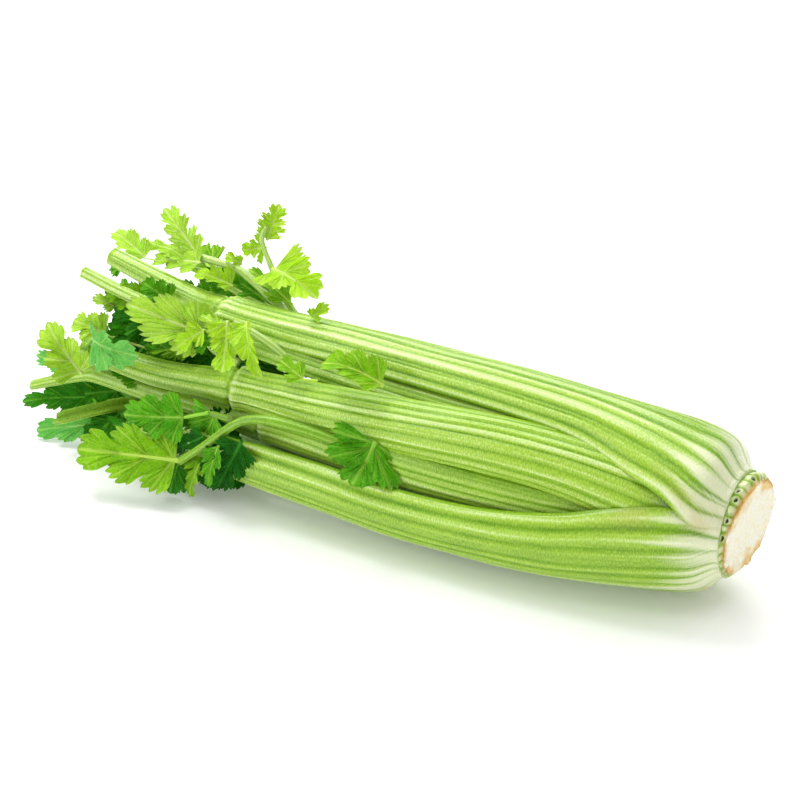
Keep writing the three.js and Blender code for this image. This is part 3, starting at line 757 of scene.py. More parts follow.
def stalk(name, table, seed, skin, across):
    inside = POINTS_ACROSS["inside"]
    rows = stalk_rows(table)
    joint = table["tail"][0][0] + JOINT_BEFORE_TAIL if len(table["tail"]) > 1 else None
    places = stations(rows, joint)
    x, y, z, facing, half, bow, crown, edge = read_rows(rows, places).T[:, :, None]
    turn = np.radians(facing)
    radius = (half ** 2 + bow ** 2) / (2 * bow)
    sweep = np.arctan2(half, radius - bow)

    def on_arc(reach, u, narrowest=0):
        sideways = np.maximum(reach, narrowest) * np.sin(sweep * u)
        out = reach * np.cos(sweep * u) - radius
        return np.stack(np.broadcast_arrays(
            x, y - sideways * np.cos(turn) - out * np.sin(turn),
            AXIS_HEIGHT + z - sideways * np.sin(turn) + out * np.cos(turn)), -1)

    u = np.linspace(-1, 1, across)[None, :]
    v = np.linspace(1, -1, inside)[None, :]
    rib, pale, carve = outer_face(u, x, edge, joint, seed)
    outer = on_arc(radius - carve, u)
    outer[..., 2] = np.maximum(outer[..., 2], 0)
    thick = edge + (crown - edge) * np.cos(v * math.pi / 2)
    rounding = INSIDE_ROUNDING * edge * ease(np.abs(v), 0.85, 1)
    inner = on_arc(radius - thick + rounding, v, (radius - edge) / 2)

    plain = np.zeros((len(places), inside))
    around = np.concatenate([u + 0 * x, v + 0 * x], 1)
    numbers = {
        "rib": np.concatenate([rib, plain + INSIDE_RIB], 1),
        "pale": np.concatenate([pale, plain], 1),
        "edge": np.abs(around),
        "skin": np.stack([(BASE_X - x) * MM + 0 * around, around * sweep * radius * MM,
                          np.full(around.shape, seed * SEED_SPACING)], -1),
    }
    points, faces = np.concatenate([outer, inner], 1), tube_faces(len(places), across + inside)
    return make_piece(name + "_ribbed", points, faces, [skin, cut_flesh], numbers, flat_ends=2,
                      node=name)


for number, (name, table) in enumerate(STALKS.items()):
    skin, width = (stalk_skin, "outermost") if name.startswith("stalk") else (heart_skin, "inner")
    piece = stalk(name, table, 10 * number, skin, POINTS_ACROSS[width])
    print(name, "has", len(piece.data.polygons), "faces")

# %% [markdown]
# ## The root crown
# The stalks grow from a short woody stem, sliced off when the head is picked. Its face is cream with fine
# rays and dries tan at a ragged rim. Behind the rim is a band of small pale lumps, the scars of outer stalks
# that were pulled off. Most of them have a pit, where a string was torn out, painted dark green: partly the
# string's own green and partly painted shade in the hollow. It is a turned shape, so we spin one outline
# round the head's axis and push its points in and out by formulas.

# %% Root crown's rim and face
CROWN = {"face": 199, "back": 190.6, "radius": 22.6, "band": 24.2, "slant_y": 0.1, "slant_z": 0.09}
CROWN_TURNS, CROWN_ROWS = 400, 40
TEARS, RAYS = (3, 7, 12, 19, 31, 47, 70), (23, 41, 67)
RAGGEDNESS, FLAP_HEIGHT, FACE_DISH, RAY_RELIEF = 0.26, 0.9, 0.5, 0.14
SCARS = 31


def crown_rim(theta, draw):
    """How far the crown's torn edge stands out in mm, as uneven cuts and as a few flaps of skin."""
    ragged = sum(np.sin(k * theta + draw.uniform(0, A_TURN)) / k ** 0.5 for k in TEARS) * RAGGEDNESS
    flaps = FLAP_HEIGHT * ease(np.sin(5 * theta + 1) + np.sin(13 * theta), 0.6, 1.6)
    return ragged, flaps


def crown_face(theta, ragged, flaps, draw):
    """The sliced face in rings from its middle out: x, distance from the axis, and share of the way out."""
    face = np.linspace(0.3, 1, CROWN_ROWS)[:, None] ** 0.8
    rays = sum(np.sin(k * theta + 3 * face + draw.uniform(0, A_TURN)) for k in RAYS) / 3
    x = (CROWN["face"] - FACE_DISH * (1 - face ** 2) + RAY_RELIEF * rays * face
         + (0.5 * ragged + 0.5 * flaps) * ease(face, 0.8, 1)
         + 0.4 * ease(face, 0.8, 0.93) * ease(face, 1.0, 0.96))
    return x, face * (CROWN["radius"] + ragged + flaps), face + 0 * theta


print("the crown's face is", 2 * CROWN["radius"], "mm across, with", SCARS, "scars behind it")

# %% [markdown]
# The band behind the face is the same outline carried on. Each scar has its own width, size and pit, and the
# pit has a raised lip.

# %% Root crown's band
NECK_DEPTH, SCAR_HEIGHT, PIT_DEPTH, PIT_LIP = 0.9, 1.5, 2.2, 0.5
PIT_MIDDLES, WITHOUT_PIT = (0.26, 0.42), 0.3


def crown_band(theta, ragged, flaps, face_x, scar, which, size, draw):
    """The side of the crown in rings from its rim back: x, distance from the axis, and how deep in a pit."""
    side = np.linspace(0, 1, CROWN_ROWS)[:, None]
    belly = np.sin(math.pi * ease(side, 0.04, 0.6))
    lump = np.abs(np.sin(math.pi * scar)) ** 0.6
    x = face_x[-1] * (1 - side) + CROWN["back"] * side - 0.3 * np.sin(math.pi * side) * ragged
    reach = (CROWN["radius"] + (ragged + flaps) * (1 - ease(side, 0, 0.2))
             - NECK_DEPTH * np.sin(math.pi * np.clip(side / 0.25, 0, 1))
             + (CROWN["band"] - CROWN["radius"]) * ease(side, 0.05, 0.35) - 0.8 * ease(side, 0.5, 0.8)
             + SCAR_HEIGHT * size * belly * (lump - 0.45) + 0.2 * np.sin(37 * theta + 5 * side))
    pit_middle = draw.uniform(*PIT_MIDDLES, SCARS)[which]
    from_pit = np.hypot((side - pit_middle) / 0.08, (scar % 1 - 0.5) / (0.18 + 0.08 * size))
    pit = ease(from_pit, 1.25, 0.7) * (draw.uniform(0, 1, SCARS)[which] > WITHOUT_PIT)
    reach = reach - PIT_DEPTH * pit + PIT_LIP * bump_at(from_pit, 1.3, 0.35) * belly
    return x, reach, pit, lump, side + 0 * theta


print("the band is", round(CROWN["face"] - CROWN["back"], 1), "mm wide and", 2 * CROWN["band"], "mm across")

# %% [markdown]
# The crown's finish reads how far out each point is: from cream, through drying tan, to a brown rim, and
# behind the rim the green and pale band with its pits. Noise frays the borders between these zones, which
# would look painted if they were clean rings.

# %% Crown finish
CREAM, CREAM_PATCH, DRYING, RIM = "#fffff0", "#fbf0c8", "#edc878", "#c48f3c"
BAND_GREEN, BAND_PALE, PIT_GREEN_AND_SHADE = "#94b63c", "#e6edbc", "#2c5210"
MOTTLE_PER_METRE, GRIT_PER_METRE = 75, 700
CROWN_RELIEF = 0.0006


def crown_finish():
    finish = Finish("sliced_crown_flesh", Subsurface_Weight=0.2, Subsurface_Radius=(1.2, 1.0, 0.6),
                    Subsurface_Scale=0.0015, Specular_IOR_Level=0.3)
    place = finish.own_place()
    reach, pit, lump = finish.measured("reach"), finish.measured("pit"), finish.measured("lump")
    mottle, grit = finish.noise(place, MOTTLE_PER_METRE, 4), finish.noise(place, GRIT_PER_METRE, 3)
    cream = finish.mix(grit.step(0.3, 0.75), colour(CREAM), colour(CREAM_PATCH))
    drying = (reach + 1.7 * (mottle - 0.5)).step(0.74, 1.05)
    base = finish.mix(drying * 0.9, cream, colour(DRYING))
    gritty_reach = reach + 0.2 * (grit - 0.5)
    rim = gritty_reach.step(0.9, 1.0) * gritty_reach.step(1.22, 1.08)
    base = finish.mix(rim * mottle.step(0.35, 0.6) * 0.85, base, colour(RIM))
    paleness = (0.8 * lump + 1.4 * (mottle - 0.5)).step(0.2, 0.95)
    band = finish.mix(paleness, colour(BAND_GREEN), colour(BAND_PALE))
    base = finish.mix((reach + 0.2 * (mottle - 0.5)).step(1.06, 1.2), base, band)
    # partly painted shade: the pits turn deep green, for the torn strings and for the shadow in the hollow
    base = finish.mix(pit.step(0.1, 0.8) * 0.92, base, colour(PIT_GREEN_AND_SHADE))
    finish.paint(Base_Color=base, Roughness=0.8 - 0.25 * lump)
    finish.bump(grit + 0.5 * mottle, CROWN_RELIEF)
    return finish.material


crown_flesh = crown_finish()
print("crown finish:", crown_flesh.name)

# %% [markdown]
# Face and band are rings of the same number of points, so they join into one tube. A tilt at its end gives
# the slant of the knife's cut.

# %% Build the root crown
SCAR_WIDTHS, SCAR_SIZES, CROWN_SEED = (0.6, 1.5), (0.5, 1.25), 11
TILT_FROM, TILT_FULL = 193, 198


def root_crown():
    draw = np.random.default_rng(CROWN_SEED)
    theta = np.linspace(0, 2 * math.pi, CROWN_TURNS, endpoint=False)[None, :]
    scar_edges = np.cumsum(draw.uniform(*SCAR_WIDTHS, SCARS))
    scar_edges = scar_edges / scar_edges[-1] * 2 * math.pi
    scar = np.interp(theta, np.concatenate([[0], scar_edges]), np.arange(SCARS + 1))
    which = np.minimum(scar.astype(int), SCARS - 1)
    size = draw.uniform(*SCAR_SIZES, SCARS)[which]
    ragged, flaps = crown_rim(theta, draw)
    face_x, face_reach, face = crown_face(theta, ragged, flaps, draw)
    side_x, side_reach, pit, lump, side = crown_band(theta, ragged, flaps, face_x, scar, which, size, draw)

    x = np.concatenate([face_x, side_x[1:]])
    reach = np.concatenate([face_reach, side_reach[1:]])
    y, z = reach * np.cos(theta), reach * np.sin(theta)
    x = x + ease(x, TILT_FROM, TILT_FULL) * (CROWN["slant_y"] * y + CROWN["slant_z"] * z)
    points = np.stack([x, y, z + AXIS_HEIGHT], -1)
    numbers = {"reach": np.concatenate([face, 1 + side[1:]]),
               "pit": np.concatenate([0 * face, pit[1:]]),
               "lump": lump + 0 * x}
    return make_piece("sliced_root_crown", points, tube_faces(len(x), CROWN_TURNS), [crown_flesh],
                      numbers, node="root_crown")


crown = root_crown()
print("crown faces:", len(crown.data.polygons))

# %% [markdown]
# ## The side stems
# From the joints and leaf stems grow thinner stems that carry the leaflets: round, faintly ribbed, and often
# arched. Each is a tube round a smooth curve through a few points. We sweep it ourselves instead of using a
# curve object, so that it can have ribs and the same skin numbers as the stalks.

# %% Side stem table
# Each side stem: the points that it passes through, then its radius where it starts and at its tip.
SIDE_STEMS = {
    "side_stem_front": ([(26, -38, 47), (8, -40, 50.5), (-10, -42.5, 53.5), (-27, -45.3, 55),
                         (-38, -47.3, 54), (-47, -48.8, 49.5), (-62, -50.2, 36),
                         (-79, -51, 21.5)], 2.6, 2),
    "side_stem_front_short": ([(-51, -46.2, 50), (-63, -45, 49.5)], 1.8, 1.5),
    "side_stem_top": ([(-52, 17, 73), (-67, 20, 82), (-81, 21, 90), (-92, 21, 95),
                       (-112, 19, 97.5)], 2.6, 1.9),
    "side_stem_upright": ([(-58, 27, 72), (-66, 26, 83), (-73, 26, 97), (-80, 28, 110),
                           (-79, 31, 117)], 2, 1.2),
    "side_stem_left": ([(-153, -31.5, 46), (-158, -31, 52), (-161, -32, 57)], 2.6, 1.6),
    "side_stem_fan": ([(-64, -19, 65), (-78, -19.5, 70), (-90, -15.5, 75)], 2.4, 1.8),
    "side_stem_heart": ([(-30, -15, 69), (-43, -15, 76.5), (-55, -17, 83), (-65.5, -20, 88)], 2.4, 1.3),
    "side_stem_back": ([(-126, 44, 53), (-140, 50, 50), (-152, 56, 45)], 2.6, 1.6),
}
print("side stems:", ", ".join(SIDE_STEMS))

# %% [markdown]
# A few points make a smooth route when each stretch between two of them also minds the points before and
# after it. Round every point of the route goes a ring, square to the way the route runs there.

# %% Smooth routes and tubes
def smooth_route(points, spacing):
    """Points about this far apart on a smooth curve through the given ones."""
    points = np.array(points, float)
    route = []
    for k in range(len(points) - 1):
        before, start, end = points[max(k - 1, 0)], points[k], points[k + 1]
        after = points[min(k + 2, len(points) - 1)]
        t = np.linspace(0, 1, max(2, int(np.linalg.norm(end - start) / spacing)), endpoint=False)[:, None]
        route.append(0.5 * (2 * start + (end - before) * t
                            + (2 * before - 5 * start + 4 * end - after) * t ** 2
                            + (3 * start - before - 3 * end + after) * t ** 3))
    return np.concatenate(route + [points[-1:]])


def side_frames(route):
    """Two directions square to the route at each of its points, the first of them level."""
    ahead = np.gradient(route, axis=0)
    ahead /= np.linalg.norm(ahead, axis=1)[:, None]
    level = np.cross(ahead, (0, 0, 1))
    level /= np.linalg.norm(level, axis=1)[:, None]
    return level, np.cross(level, ahead)


def tube(route, radii, sides, ribs=0, rib_depth=0.0):
    """Points of a ribbed tube round a route, and the height of its ribs at each point."""
    level, upper = side_frames(route)
    angle = np.linspace(0, 2 * math.pi, sides, endpoint=False)[None, :]
    rib = np.abs(np.cos(ribs / 2 * angle)) ** 0.7 if ribs else np.ones_like(angle)
    reach = np.asarray(radii)[:, None] - rib_depth * (1 - rib)
    points = (route[:, None] + (reach * np.cos(angle))[..., None] * level[:, None]
              + (reach * np.sin(angle))[..., None] * upper[:, None])
    return points, np.broadcast_to(rib, reach.shape)


print("a 10 mm route has", len(smooth_route([(0, 0, 0), (5, 0, 1), (10, 0, 0)], 1.0)), "points")

# %% [markdown]
# The side stems in front get a darker skin, painted shade for the leaves' shadow on them; the others get a
# paler one, painted light.

# %% Build the side stems
STEM_SIDES, STEM_RIBS, STEM_RIB_DEPTH = 30, 6, 0.22
STEM_FROM_CROWN, STEM_TIP_FURTHER, STEM_SKIN_STEP = 0.15, 0.1, 0.0004
SHADED_STEM_PALENESS, LIT_STEM_PALENESS, STEM_UNEVENNESS = -0.1, 0.35, 0.05
# painted shade and painted light: a darker skin for the stems in front and a paler one for all the others
shaded_stem_skin = stalk_finish("side_stem_skin", "#98c438", "#76ac10", "#62980a")
lit_stem_skin = stalk_finish("lit_side_stem_skin", "#c2e272", "#98ca2a", "#82b614")


def side_stem(name, number, points, start, end):
    route = smooth_route(points, 1.0)
    share = np.linspace(0, 1, len(route))
    radii = (start + (end - start) * share) * (1 + STEM_UNEVENNESS * np.sin(19 * share + number))
    points, rib = tube(route, radii, STEM_SIDES, STEM_RIBS, STEM_RIB_DEPTH)
    # the stems in front take the painted shade, the others the painted light
    skin, paleness = (shaded_stem_skin, SHADED_STEM_PALENESS) if "front" in name else (lit_stem_skin, LIT_STEM_PALENESS)
    plain = np.zeros(rib.shape)
    along = (STEM_FROM_CROWN + share * STEM_TIP_FURTHER)[:, None] + plain
    round_it = np.arange(STEM_SIDES) * STEM_SKIN_STEP + plain
    numbers = {"rib": rib, "pale": plain + paleness, "edge": plain,
               "skin": np.stack([along, round_it, plain + number], -1)}
    faces = tube_faces(len(route), STEM_SIDES)
    make_piece(name + "_ribbed", points, faces, [skin, cut_flesh], numbers, flat_ends=2, node=name)
    return len(route)


for number, (name, (points, start, end)) in enumerate(SIDE_STEMS.items()):
    print(name, "has", side_stem(name, number, points, start, end), "rings of points")

# %% [markdown]
# ## Leaf green
# A celery leaflet is thin, so some light passes through it, and its veins are paler than the blade. The dark
# green, a little glossier, is partly the leaves' own and partly painted shade for leaves in the head's
# shadow, and the deep green is painted shade alone. Young leaves are yellow, and where an underside turns up
# it is pale and matt. The blade's mesh knows how near each point is to a vein and to the margin; the finest
# net of veins is too small to model and is added as a cell pattern.

# %% Leaf finishes
VEIN_CELLS_PER_METRE, LEAF_PATCHES_PER_METRE = 420, 110
LEAF_RELIEF = 0.0003


def leaf_finish(name, blade, shade, vein, gloss=0.42):
    finish = Finish(name, Subsurface_Weight=0.3, Subsurface_Radius=(1.0, 1.0, 0.4), Subsurface_Scale=0.0012,
                    Specular_IOR_Level=0.1)
    flat = finish.measured("flat", "Vector")
    veins, margin = finish.measured("vein"), finish.measured("margin")
    cells = {"Vector": flat, "Scale": VEIN_CELLS_PER_METRE}
    from_net = finish.node("ShaderNodeTexVoronoi", {"feature": "DISTANCE_TO_EDGE"}, cells, "Distance")
    net = from_net.step(0.12, 0.0)
    patches = finish.noise(flat, LEAF_PATCHES_PER_METRE, 3)
    base = finish.mix(patches.step(0.3, 0.7), colour(blade), colour(shade))
    base = finish.mix(net * 0.22, base, colour(vein))
    base = finish.mix(margin.step(0.93, 1.0) * 0.25, base, colour(vein))
    base = finish.mix(veins * 0.85, base, colour(vein))
    finish.paint(Base_Color=base, Roughness=gloss + 0.15 * patches)
    finish.bump(patches - 0.5 * net, LEAF_RELIEF)
    return finish.material


LEAF_FINISHES = {
    "bright": leaf_finish("leaf_bright_green", "#7cb802", "#68a600", "#c6e662"),
    "yellow": leaf_finish("leaf_yellow_green", "#a6d614", "#92c808", "#d3ee7c"),
    "mid": leaf_finish("leaf_mid_green", "#52a404", "#3c8e02", "#9cd24a"),
    # partly painted shade: the leaves' own dark green, also used for leaves that lie in the head's shadow
    "dark": leaf_finish("leaf_dark_and_shaded_green", "#2c8606", "#1a6c02", "#68b032", 0.36),
    # painted shade: a near-black green for sheets set where the head shows only shadow
    "deep": leaf_finish("leaf_painted_shade_green", "#146404", "#0a4a02", "#3a8c20"),
    "blue": leaf_finish("leaf_blue_green", "#68ba52", "#50a840", "#a4da72", 0.4),
    "pale": leaf_finish("leaf_underside", "#a6d434", "#92c624", "#d8ee90", 0.5),
}
print("leaf greens:", ", ".join(LEAF_FINISHES))

# %% [markdown]
# ## The leaflets
# A celery leaflet has a wedge-shaped foot, one to three side lobes and an end lobe, all edged with blunt
# teeth, and a vein runs out to each tooth. That suggests how to build it: a fan of rows that start along the
# midrib, point the way the veins point and end at the margin. Giving each row its reach draws the lobes and
# teeth, and the rows are already the veins, so the relief between them is easy to add. A flat cut-out would
# have none of that.

# %% Leaf shapes
# Each lobe: where on the midrib its vein starts, the angles of its foot side and tip side, reach, teeth.
LEAF_SHAPES = {
    "broad": {"cut": 0.24, "bite": 0.13, "lobes": [
        (0.05, 92, 44, 0.47, 5), (0.27, 74, 14, 0.47, 5), (0.52, 50, -50, 0.48, 5)]},
    "lobed": {"cut": 0.42, "bite": 0.15, "lobes": [
        (0.08, 84, 30, 0.52, 5), (0.36, 72, 12, 0.38, 3), (0.56, 46, -46, 0.44, 5)]},
    "fan": {"cut": 0.28, "bite": 0.12, "lobes": [
        (0.02, 104, 52, 0.55, 5), (0.08, 60, 14, 0.72, 5), (0.36, 36, -36, 0.64, 5)]},
    "spear": {"cut": 0.5, "bite": 0.2, "lobes": [
        (0.06, 72, 22, 0.30, 3), (0.24, 74, 20, 0.34, 3), (0.44, 70, 18, 0.32, 3),
        (0.62, 50, -50, 0.38, 5)]},
    "small": {"cut": 0.3, "bite": 0.17, "lobes": [(0.06, 84, 18, 0.52, 5), (0.42, 54, -54, 0.58, 5)]},
}
print("leaf shapes:", {shape: len(parts["lobes"]) for shape, parts in LEAF_SHAPES.items()}, "lobes")

# %% [markdown]
# We draw one half of the blade flat and one unit long. Each lobe's rows swing from its foot side to its tip
# side, and the teeth are bites taken out of their reach. Two short rows join one lobe to the next.

# %% Half a blade
TOOTH_ROWS = [0, 0.2, 0.4, 0.55, 0.66, 0.78, 0.9]
TOOTH_TIP = 0.66
NO_VEIN = 9.0
FOOT_ROWS = ((0, math.pi / 2, 0.012), (0.03, 1.5, 0.022))
JOINING_ROWS = (0.3, 0.7)


def blade_row(start, angle, reach, out):
    """Points from the midrib at start to the margin, out being each one's share of the way."""
    return np.stack([start + reach * out * np.cos(angle), reach * out * np.sin(angle)], -1)


def lobe_rows(shape, lobe, draw, out):
    """One lobe's rows, each with its points' distances from the vein, its place in its tooth, its lobe."""
    start, wide, narrow, reach, teeth = shape["lobes"][lobe]
    middle = (teeth - 1) / 2 + TOOTH_TIP
    stop = middle if narrow < 0 else teeth
    reach = reach * draw.uniform(0.93, 1.07)
    bites = shape["bite"] * draw.uniform(0.6, 1.4, teeth + 1)
    places = [k + part for k in range(teeth) for part in TOOTH_ROWS if k + part <= stop]
    rows = []
    for place in places + [teeth] * (narrow > 0):
        side = np.interp(place, [0, middle, teeth], [-1, 0, 1])
        in_tooth = place % 1
        rise = min(in_tooth / TOOTH_TIP, 1) ** 0.6 * min((1 - in_tooth) / (1 - TOOTH_TIP), 1) ** 0.8
        here = reach * (1 - shape["cut"] * abs(side) ** 3) * (1 - bites[int(place)] * (1 - rise))
        aside = np.radians(-side * (wide - narrow) / 2) * (0.45 + 0.55 * out ** 0.7)
        row = blade_row(start, np.radians((wide + narrow) / 2) + aside, here, out)
        rows.append((row, np.abs(here * out * np.sin(aside)), in_tooth, lobe))
    return rows


def half_blade(shape, draw, columns):
    """The rows of half a blade from foot to tip, and what lobe_rows says of each, as arrays."""
    out = np.linspace(0, 1, columns)
    rows = [(blade_row(*foot, out), NO_VEIN, 0, 0) for foot in FOOT_ROWS]
    for lobe in range(len(shape["lobes"])):
        more = lobe_rows(shape, lobe, draw, out)
        if lobe:
            before, after = rows[-1][0], more[0][0]
            rows += [(before + (after - before) * share, NO_VEIN, 0, lobe - 0.5) for share in JOINING_ROWS]
        rows += more
    flat, from_vein, in_tooth, lobe = zip(*rows)
    from_vein = np.stack([np.broadcast_to(distance, out.shape) for distance in from_vein])
    return np.stack(flat), from_vein, np.array(in_tooth)[:, None], np.array(lobe)[:, None], out[None, :]


print("rows in half a broad blade:", len(half_blade(LEAF_SHAPES["broad"], np.random.default_rng(0), 6)[0]))

# %% [markdown]
# Then the half blade is set in its place. It is folded along its midrib, arched along its length and curled
# at its sides, its edge ruffles, each lobe tilts a little, and the skin puffs up between the veins.

# %% A half blade in its place
PUFF, VEIN_SINK, LOBE_TILT, CURL_HEIGHT = 0.022, 0.006, 0.06, 0.12
VEIN_WIDTH, VEIN_WIDTH_PER_WIDTH, TOOTH_VEIN = 0.2, 0.014, 0.55


def vein_strength(y, from_vein, in_tooth, out, length, width):
    """1 on the midrib and on a lobe's vein, about half of that on the small vein to a tooth, 0 between."""
    line = VEIN_WIDTH_PER_WIDTH * width + VEIN_WIDTH
    to_tip = np.abs(in_tooth - TOOTH_TIP) < 0.01
    return np.maximum.reduce([
        np.exp(-(y / line) ** 2), np.exp(-(from_vein * length / (0.75 * line)) ** 2) * (1 - 0.5 * out),
        TOOTH_VEIN * to_tip * ease(out, 0.1, 0.4) * (1 - 0.4 * out)])


def half_sheet(shape, seed, side, place, columns):
    """Half a blade: its points, how much each is vein and margin, and its place on the flat blade."""
    draw = np.random.default_rng(seed)
    flat, from_vein, in_tooth, lobe, out = half_blade(LEAF_SHAPES[shape], draw, columns)
    length, width = place["length"], place["width"]
    flat = flat / flat.max((0, 1)) * [length, width / 2]
    x, y = flat[..., 0], flat[..., 1]
    vein = vein_strength(y, from_vein, in_tooth, out, length, width)
    puff = (np.sin(math.pi * (in_tooth - TOOTH_TIP)) ** 2 * np.sin(math.pi * out ** 0.8)
            * ease(x / length, 0, 0.15))
    wave = np.sin(2 * math.pi * (2.5 + seed % 2) * np.linspace(0, 1, len(x))[:, None] + seed)
    tilt = np.interp(lobe, [0, 1, 2, 3], draw.uniform(-1, 1, 4))
    fold = math.radians(place["fold"])
    off_midrib = np.minimum(1, y / (0.2 * width))
    lift = (place["arch"] * 4 * (x / length) * (1 - x / length) + y * math.sin(fold)
            + place["curl"] * (2 * y / width) ** 2 * width * CURL_HEIGHT
            + (place["ruffle"] * wave + LOBE_TILT * width * tilt) * out ** 2 * off_midrib
            + PUFF * width * puff - VEIN_SINK * width * vein)
    points = (place["base"] + x[..., None] * place["ahead"]
              + (side * y * math.cos(fold))[..., None] * place["across"] + lift[..., None] * place["normal"])
    return points, vein, np.broadcast_to(out, x.shape), flat * [1, side]


OPEN_SIDE = [0.45, -0.77, 0.45]


def leaf_directions(base, tip, lean):
    """The unit vectors along, across and out of a blade; with no lean it faces forwards and up."""
    ahead = (tip - base) / np.linalg.norm(tip - base)
    across = np.cross(ahead, OPEN_SIDE)
    across /= np.linalg.norm(across)
    normal = np.cross(across, ahead)
    turn = math.radians(lean)
    return (ahead, across * math.cos(turn) + np.cross(ahead, across) * math.sin(turn),
            normal * math.cos(turn) + np.cross(ahead, normal) * math.sin(turn))


face = leaf_directions(np.zeros(3), np.array([-1.0, 0, 0]), 0)[2]
print("a blade that lies along -X faces", face.round(2))

# %% [markdown]
# Two halves make a blade. They share their points along the midrib, where several rows can start at one
# place. The sheet then gets a real thickness, with an underside and a rim round the margin, and a round
# midrib that tapers to the tip and carries on past the blade's foot as the leaflet's own little stem.

# %% Closing a blade
BLADE_THICKNESS = 0.35
MIDRIB_SIDES, MIDRIB_TAPER, MIDRIB_SUNK = 10, 0.8, 0.6
MIDRIB_RADIUS, MIDRIB_RADIUS_PER_WIDTH = 0.35, 0.028


def blade_solid(sheets, columns, normal):
    """Points and faces of a closed blade from its two halves, and the left half's point numbers."""
    rows = len(sheets[0][0])
    left = np.arange(rows * columns).reshape(rows, columns)
    starts = np.round(sheets[0][3][:, 0, 0], 3)
    left[:, 0] = left[np.searchsorted(starts, starts), 0]
    right = left + rows * columns
    right[:, 0], right[-1] = left[:, 0], left[-1]
    quads = []
    for side, grid in ((1, left), (-1, right)):
        corners = np.stack([grid[:-1, :-1], grid[1:, :-1], grid[1:, 1:], grid[:-1, 1:]], -1).reshape(-1, 4)
        quads.append(corners[:, ::side])
    quads = np.concatenate(quads)
    border = np.concatenate([left[0, ::-1], right[0, 1:], right[1:, -1], left[:-1, -1][::-1]])
    follow = np.roll(border, -1)
    count = 2 * rows * columns
    rim = np.stack([border, follow, follow + count, border + count], -1)
    top = np.concatenate([sheet[0].reshape(-1, 3) for sheet in sheets])
    points = np.concatenate([top, top - normal * BLADE_THICKNESS])
    return points, np.concatenate([quads, quads[:, ::-1] + count, rim]), left


def midrib(sheets, left, columns, foot, base, width, normal):
    """Rings of points round a route from the foot along the middle of the blade to just short of its tip."""
    spine = sheets[0][0][np.unique(left[:, 0] // columns), 0]
    tip = sheets[0][0][-1, columns * 2 // 3]
    route = smooth_route(foot + [base] + list(spine[2:]) + [tip], 1.2)
    foot_radius = MIDRIB_RADIUS_PER_WIDTH * width + MIDRIB_RADIUS
    radii = foot_radius * (1 - MIDRIB_TAPER * np.linspace(0, 1, len(route)))
    return tube(route - normal * BLADE_THICKNESS * MIDRIB_SUNK, radii, MIDRIB_SIDES)[0]


def used_only(points, faces):
    """Leave out the points that no face uses, and the faces that have shrunk to a line."""
    faces = [[k for k, after in zip(face, face[1:] + face[:1]) if k != after] for face in faces]
    faces = [face for face in faces if len(face) > 2]
    used = np.unique(np.concatenate([np.array(face) for face in faces]))
    place = np.zeros(len(points), int)
    place[used] = np.arange(len(used))
    return used, [[int(place[k]) for k in face] for face in faces]


print("a blade is", BLADE_THICKNESS, "mm thick")

# %% [markdown]
# One call makes a whole leaflet. Its base and tip are where its solid in the frame starts and ends, lean
# turns the blade about its length, and every leaflet draws its own lobes and teeth from its seed.

# %% A whole leaflet
def leaflet(name, base, tip, width, lean=0, arch=2, fold=10, root=None, shape="broad", green="bright",
            curl=0.0, ruffle=1.2, seed=0, columns=11, node=None):
    base, tip = np.array(base, float), np.array(tip, float)
    ahead, across, normal = leaf_directions(base, tip, lean)
    place = {"base": base, "ahead": ahead, "across": across, "normal": normal, "width": width, "arch": arch,
             "length": np.linalg.norm(tip - base), "fold": fold, "curl": curl, "ruffle": ruffle}
    sheets = [half_sheet(shape, seed, 1, place, columns), half_sheet(shape, seed + 1, -1, place, columns)]
    points, faces, left = blade_solid(sheets, columns, normal)
    foot = [np.array(root, float)] if root else []
    rings = midrib(sheets, left, columns, foot, base, width, normal)
    faces = faces.tolist() + tube_faces(len(rings), MIDRIB_SIDES, len(points))
    points = np.concatenate([points, rings.reshape(-1, 3)])

    vein, margin = (np.concatenate([sheet[k].ravel() for sheet in sheets]) for k in (1, 2))
    flat = np.pad(np.concatenate([sheet[3].reshape(-1, 2) for sheet in sheets]), ((0, 0), (0, 1)))
    on_midrib = rings.shape[0] * rings.shape[1]
    numbers = {
        "vein": np.concatenate([vein, vein, np.ones(on_midrib)]),
        "margin": np.concatenate([margin, margin, np.zeros(on_midrib)]),
        "flat": np.concatenate([flat, flat, np.zeros((on_midrib, 3))]) * MM + seed,
    }
    used, faces = used_only(points, faces)
    numbers = {key: values[used] for key, values in numbers.items()}
    finishes = [LEAF_FINISHES[green]]
    return make_piece(name + "_blade", points[used], faces, finishes, numbers, node=node)


print("a leaflet can be:", ", ".join(LEAF_SHAPES))

# %% [markdown]
# Each leaflet gets the base, tip, width, lean, arch and fold that its solid in the frame has, and the root
# that its own little stem grows from, then what only the eye needs: its shape, its green, and how far its
# edges curl and ruffle. What is left out has the value that leaflet gives it. The first ones hang in front.

# %% Leaflets in front
LEAFLETS = {
    "leaf_front_large": dict(base=(-78.5, -52, 22.5), tip=(-131, -66, 21.5), width=36, lean=4, arch=4,
                             fold=8),
    "leaf_front_behind": dict(base=(-78.5, -45, 43.5), tip=(-112.5, -51, 39), width=27, lean=-10, arch=3,
                              root=(-65, -44.5, 49.3), green="mid"),
    "leaf_front_hanging": dict(base=(-63, -42, 48), tip=(-74, -45.5, 28), width=27, lean=25, arch=-2,
                               fold=25, shape="fan", green="mid", curl=-0.6),
    "leaf_low_dark": dict(base=(-81, -50, 19), tip=(-85.5, -52, 2), width=22, shape="fan", green="dark"),
    "leaf_low_bright": dict(base=(-68, -44, 26), tip=(-74, -51, 3), width=15, lean=25, arch=3, fold=25,
                            shape="lobed"),
    "leaf_low_inner": dict(base=(-61, -43, 34), tip=(-66, -47, 11), width=14, lean=20, fold=30,
                           green="mid"),
}
print("leaflets so far:", len(LEAFLETS))

# %% [markdown]
# The next eight are at the far left end of the head, where the lowest stems reach furthest.

